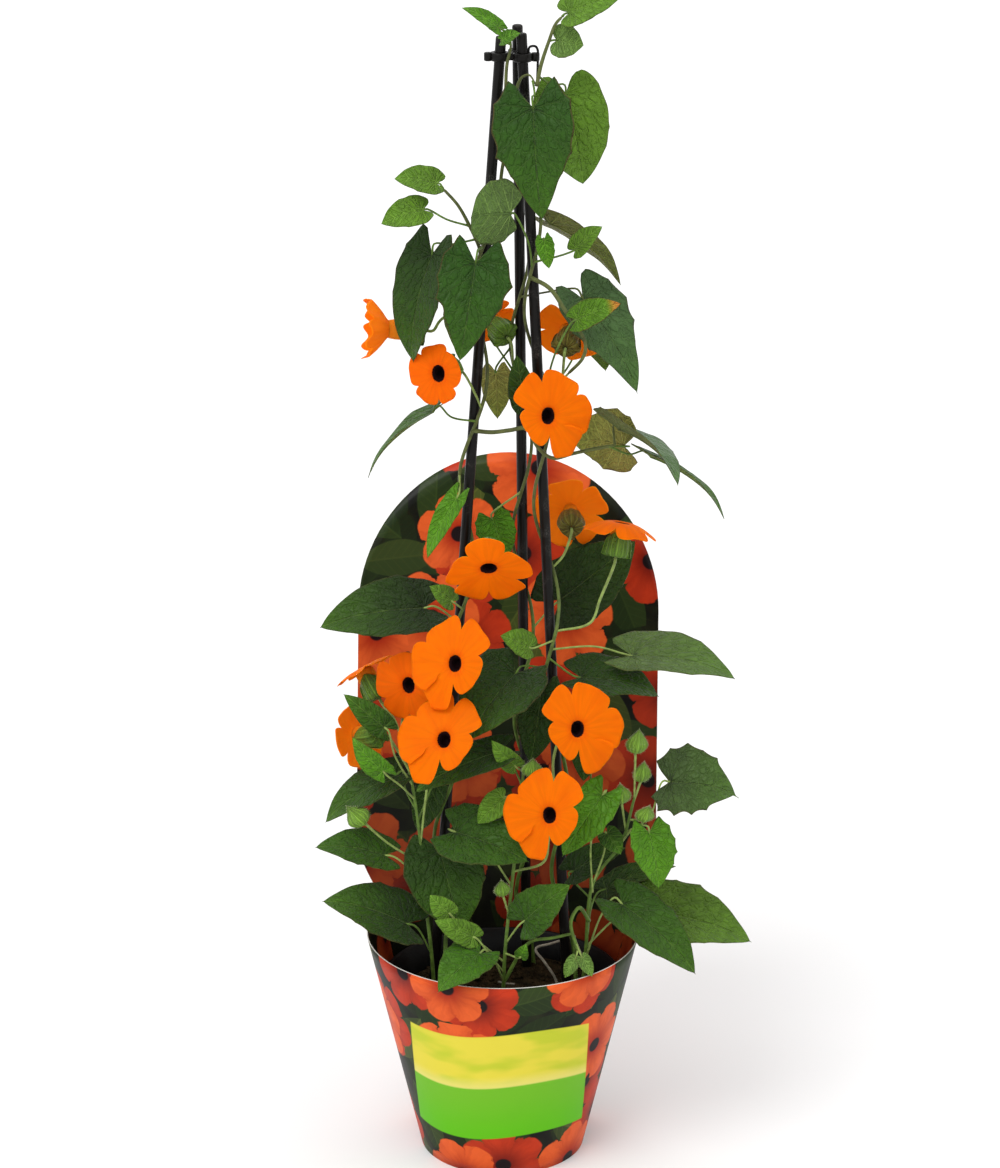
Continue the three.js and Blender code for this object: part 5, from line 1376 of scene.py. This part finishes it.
pot = Shape()
lip_low = LIP_R - SLEEVE_SLOPE * LIP_H
profile = [(0, 0.6), (POT_FOOT_R - 5, 0.6), (POT_FOOT_R - 4, 0), (POT_FOOT_R - 0.8, 0), (POT_FOOT_R, 0.8)]
profile += [(POT_FOOT_R + POT_SLOPE * z, z) for z in range(8, int(LIP_FOOT) - 4, 8)]
profile += [(POT_SHOULDER_R - 0.1, LIP_FOOT - 0.6), (POT_SHOULDER_R + 0.5, LIP_FOOT),
    (lip_low - 0.6, LIP_FOOT), (lip_low, LIP_FOOT + 0.6), (LIP_R, POT_H - 0.7), (LIP_R - 0.6, POT_H),
    (LIP_R - 1.8, POT_H), (LIP_R - 2.4, POT_H - 0.7), (wall_inside(LIP_FOOT + 2), LIP_FOOT + 2)]
profile += [(wall_inside(z), z) for z in range(80, 4, -8)]
profile += [(wall_inside(POT_FLOOR) - 0.6, POT_FLOOR), (0, POT_FLOOR)]
pot.add(*turned(profile, 96, upright(0, 0)))
pot_piece = pot.piece("inner_pot_shell", [POT_PLASTIC], "pot_plastic", "inner_pot")
cutters = []
for i in range(DRAINS):
    angle = TURN * i / DRAINS
    at = upright(DRAINS_R * math.cos(angle), DRAINS_R * math.sin(angle))
    drain = Shape()
    drain.add(*turned([(0, -3), (DRAIN_R, -3), (DRAIN_R, 5), (0, 5)], 32, at))
    mesh = bpy.data.meshes.new("drain")
    mesh.from_pydata([tuple(p * MM) for p in drain.points[0]], [], drain.triangles[0].tolist())
    cutters.append(bpy.data.objects.new("drain", mesh))
    bpy.context.scene.collection.objects.link(cutters[-1])
applied(pot_piece, cutters)

SOIL_RINGS = 44
SOIL_COLUMNS = 132
CRUMBS = 620
CRUMB_RINGS = 5
CRUMB_BALL = [(math.sin(math.pi * i / CRUMB_RINGS), -math.cos(math.pi * i / CRUMB_RINGS))
    for i in range(CRUMB_RINGS + 1)]
CRUMB_BALL[0], CRUMB_BALL[-1] = (0, -1), (0, 1)
TWIGS = 16
soil = Shape()
rand = random.Random(4409)
soil_edge = wall_inside(SOIL_Z - 3) - 0.3


def soil_height(x, y):
    """The soil's surface: highest in the middle, with heaps and grain that end at its edge."""
    radius = math.hypot(x, y)
    heaps = 1.5 * wander(0.06 * x, 0.06 * y, 3) + 1.1 * wander(0.22 * x, 0.22 * y, 7)
    rough = heaps + 0.6 * wander(0.7 * x, 0.7 * y, 1)
    shape = SOIL_Z + 0.4 - 3.2 * smoothstep(30, 64, radius)
    return shape + rough * (1 - smoothstep(soil_edge - 3, soil_edge, radius))


def soil_at(radius, angle, z):
    x, y = radius * math.cos(angle), radius * math.sin(angle)
    return vec(x, y, soil_height(x, y) if z is None else z)


profile = [(0, 2.6), (wall_inside(2.6) - 0.6, 2.6), (wall_inside(45) - 0.6, 45)]
profile += [(soil_edge, SOIL_Z - 3.4)]
profile += [(soil_edge * math.sqrt(i / SOIL_RINGS), None) for i in range(SOIL_RINGS - 1, -1, -1)]
soil.add(*turned(profile, SOIL_COLUMNS, soil_at))
for _ in range(CRUMBS):
    radius, angle = 64 * math.sqrt(rand.random()), TURN * rand.random()
    x, y = radius * math.cos(angle), radius * math.sin(angle)
    size = rand.uniform(0.5, 1.6) * (1.5 if rand.random() < 0.06 else 1)
    if math.hypot(x, y) + size > soil_edge:
        continue
    centre = vec(x, y, soil_height(x, y) + 0.3 * size)
    stretch = vec(rand.uniform(0.7, 1.4), rand.uniform(0.7, 1.4), rand.uniform(0.5, 0.9)) * size
    phase = rand.uniform(0, 90)

    def crumb_at(share, angle, z, centre=centre, stretch=stretch, phase=phase):
        ball = vec(share * math.cos(angle), share * math.sin(angle), z)
        lump = 1 + 0.35 * wander(*(1.3 * ball + phase))
        return centre + ball * stretch * lump

    soil.add(*turned(CRUMB_BALL, 8, crumb_at))
soil.piece("soil_surface", [SOIL_CRUMBS], "soil", "soil")

# Broken dry stalks, two that still stand and some that lie about.
litter = Shape()
bent = [[33, -6, SOIL_Z - 1], [30, -4, 101], [24, -2, 110], [18.6, 0, 117.6], [27, 4, 119],
    [41, 9, 121.5]]
straight = [[52, -12, SOIL_Z - 1], [50, -8, 100], [46.5, -2, 111], [42, 4, 119], [38.5, 8, 127]]
for route, radius in ((bent, 0.75), (straight, 0.5)):
    litter.add(*tube(smooth_route(route, 1.2), radius, 8), tint=DRY_STALK)
for _ in range(TWIGS):
    x, y, way = rand.uniform(-38, 38), rand.uniform(-44, 36), rand.uniform(0, TURN)
    reach, bend = rand.uniform(3, 8), rand.uniform(-2, 2)
    route = []
    for step in (-1, 0, 1):
        px = x + step * reach * math.cos(way) - (1 - step * step) * bend * math.sin(way)
        py = y + step * reach * math.sin(way) + (1 - step * step) * bend * math.cos(way)
        route.append([px, py, soil_height(px, py) + 0.5])
    litter.add(*tube(smooth_route(route, 1.5), rand.uniform(0.3, 0.6), 6), tint=np.array(DRY_STALK) * 0.7)
litter.piece("soil_twigs", [STALKS], "soil", "soil")


# ---- the card sleeve ----
WRAP_COLUMNS = 84
BACK_COLUMNS = 48
WRAP_ROWS = 22
PANEL_STEPS = 30
CONE = math.sin(math.atan(SLEEVE_SLOPE))  # what share of a turn the wrap takes once it is laid flat
CREASE = 0.4  # width of the fold where the print of the wrap meets that of the back
BACK_PLAN_X = 400  # where the middle of the back lies on the flat card
FOOT_BOW = 28  # how far the panel's edges stand in front of its middle, at the rim and at its shoulder
TOP_BOW = 15


def wrap_plan(radius, angle):
    """Where a point of the wrap lies once the card is flat, from the middle of its front foot."""
    turn = angle * CONE
    return [radius / CONE * math.sin(turn), radius / CONE * math.cos(turn) - FOOT_R / CONE, 0]


def sleeve_ring(z):
    """The points round the sleeve at a height up to its rim, and where they lie on the flat card."""
    share = z / RIM_Z
    radius = FOOT_R + (RIM_R - FOOT_R) * share
    fold_x, fold_y = (FOLD_FOOT[i] + (FOLD_RIM[i] - FOLD_FOOT[i]) * share for i in range(2))
    middle_y = BACK_Y + PANEL_LEAN * z
    # The wrap's print runs on to the folds.
    beside = math.hypot(radius - fold_x, fold_y)
    near = 1 - CREASE / beside
    crease_x, crease_y = radius + (fold_x - radius) * near, fold_y * near
    turn = math.pi / 2 + beside / radius
    points = [[crease_x, crease_y, z]]
    flat = [wrap_plan(radius, turn)]
    for i in range(WRAP_COLUMNS + 1):
        angle = -math.pi * i / WRAP_COLUMNS
        points.append([radius * math.cos(angle), radius * math.sin(angle), z])
        flat.append(wrap_plan(radius, angle + math.pi / 2))
    points.append([-crease_x, crease_y, z])
    flat.append(wrap_plan(radius, -turn))
    for j in range(BACK_COLUMNS, -1, -1):
        share_x = math.cos(math.pi * j / BACK_COLUMNS)
        points.append([fold_x * share_x, fold_y + (middle_y - fold_y) * (1 - share_x ** 2), z])
        flat.append([BACK_PLAN_X + fold_x * share_x, z, 0])
    return points, flat


def panel_row(row):
    """The points across the panel at a share of its height, and where they lie on the flat card."""
    points, flat = [], []
    for j in range(BACK_COLUMNS, -1, -1):
        share_x = math.cos(math.pi * j / BACK_COLUMNS)
        arch = PANEL_HALF * math.sqrt(max(0, 1 - share_x ** 2)) / math.hypot(1, PANEL_LEAN)
        z = RIM_Z + (PANEL_EDGE_Z + arch - RIM_Z) * row
        bow = FOOT_BOW - (FOOT_BOW - TOP_BOW) * min(1, (z - RIM_Z) / (PANEL_EDGE_Z - RIM_Z))
        widening = math.sin(math.pi / 2 * min(1, (z - RIM_Z) / SHOULDER_H))
        x = (FOLD_RIM[0] + (PANEL_HALF - FOLD_RIM[0]) * widening) * share_x
        points.append([x, BACK_Y + PANEL_LEAN * z - bow * share_x ** 2, z])
        flat.append([BACK_PLAN_X + x, z, 0])
    return points, flat


rows = [sleeve_ring(RIM_Z * i / WRAP_ROWS) for i in range(WRAP_ROWS + 1)]
# The panel's rows are closer together at first, where it widens.
rows += [panel_row((i / PANEL_STEPS) ** 1.3) for i in range(1, PANEL_STEPS + 1)]
points = np.vstack([row_points for row_points, _ in rows])
flat = np.vstack([row_flat for _, row_flat in rows])
around = WRAP_COLUMNS + BACK_COLUMNS + 4  # points in a ring
first = around * (WRAP_ROWS + 1) - BACK_COLUMNS - 1  # the panel stands on the last ring's last points
triangles = np.vstack([
    grid(WRAP_ROWS + 1, around, closed=True),
    grid(PANEL_STEPS + 1, BACK_COLUMNS + 1) + first,
])
points, triangles, rims, source, outer = sheet(points, triangles, CARD)
look = np.column_stack([0 * outer, 1 - outer, 0 * outer])
sleeve = Shape()
sleeve.add(points, triangles, rims, plan=flat[source], look=look)
sleeve.piece("sleeve_card", [PRINTED_CARD, CARD_EDGE], "sleeve_card", "sleeve")


# ---- floor, light and camera ----
FLOOR_HALF = 14.0
floor_mesh = bpy.data.meshes.new("floor")
corners = [(FLOOR_HALF * x, FLOOR_HALF * y, 0) for x, y in ((-1, -1), (1, -1), (1, 1), (-1, 1))]
floor_mesh.from_pydata(corners, [], [(0, 1, 2, 3)])
floor_look = Graph("studio_floor", Specular_IOR_Level=0.0, Roughness=0.9)
ground_tone = floor_look.noise(floor_look.place(), 3.0, 2)
floor_look.set("Base Color", floor_look.mix(ground_tone, (0.74, 0.74, 0.74), (0.76, 0.76, 0.76)))
floor_mesh.materials.append(floor_look.material)
floor = bpy.data.objects.new("floor", floor_mesh)
bpy.context.scene.collection.objects.link(floor)

# A soft white dome, brightest overhead.
world = bpy.data.worlds.new("studio")
world.use_nodes = True
dome = world.node_tree
coordinates = dome.nodes.new("ShaderNodeTexCoord")
split = dome.nodes.new("ShaderNodeSeparateXYZ")
height = dome.nodes.new("ShaderNodeMapRange")
height.inputs["To Min"].default_value = 1.0
height.inputs["To Max"].default_value = 1.35
dome.links.new(coordinates.outputs["Generated"], split.inputs[0])
dome.links.new(split.outputs["Z"], height.inputs["Value"])
dome.links.new(height.outputs["Result"], dome.nodes["Background"].inputs["Strength"])
dome.nodes["Background"].inputs["Color"].default_value = (1, 1, 1, 1)
bpy.context.scene.world = world

light = bpy.data.lights.new("key", "SUN")
light.energy = 1.3
light.angle = math.radians(30)
lamp = bpy.data.objects.new("key", light)
lamp.rotation_mode = "QUATERNION"
lamp.rotation_quaternion = Vector((0.4, 0.6, -1.0)).to_track_quat("-Z", "Y")
bpy.context.scene.collection.objects.link(lamp)

# The camera stands where the photograph was taken from.
CAMERA_TURN = math.radians(2)
CAMERA_DOWN = math.radians(18.9)
camera_data = bpy.data.cameras.new("camera")
camera_data.lens = 108.09
camera_data.sensor_width = 36
camera_data.shift_x = -0.00214
camera_data.shift_y = -0.00342
camera_data.clip_end = 100
camera = bpy.data.objects.new("camera", camera_data)
camera.location = (0.0628, -1.7989, 0.953)
level = math.cos(CAMERA_DOWN)
forward = Vector((-math.sin(CAMERA_TURN) * level, math.cos(CAMERA_TURN) * level, -math.sin(CAMERA_DOWN)))
camera.rotation_mode = "QUATERNION"
camera.rotation_quaternion = forward.to_track_quat("-Z", "Y")
bpy.context.scene.collection.objects.link(camera)
bpy.context.scene.camera = camera
bpy.context.scene.view_settings.view_transform = "Standard"
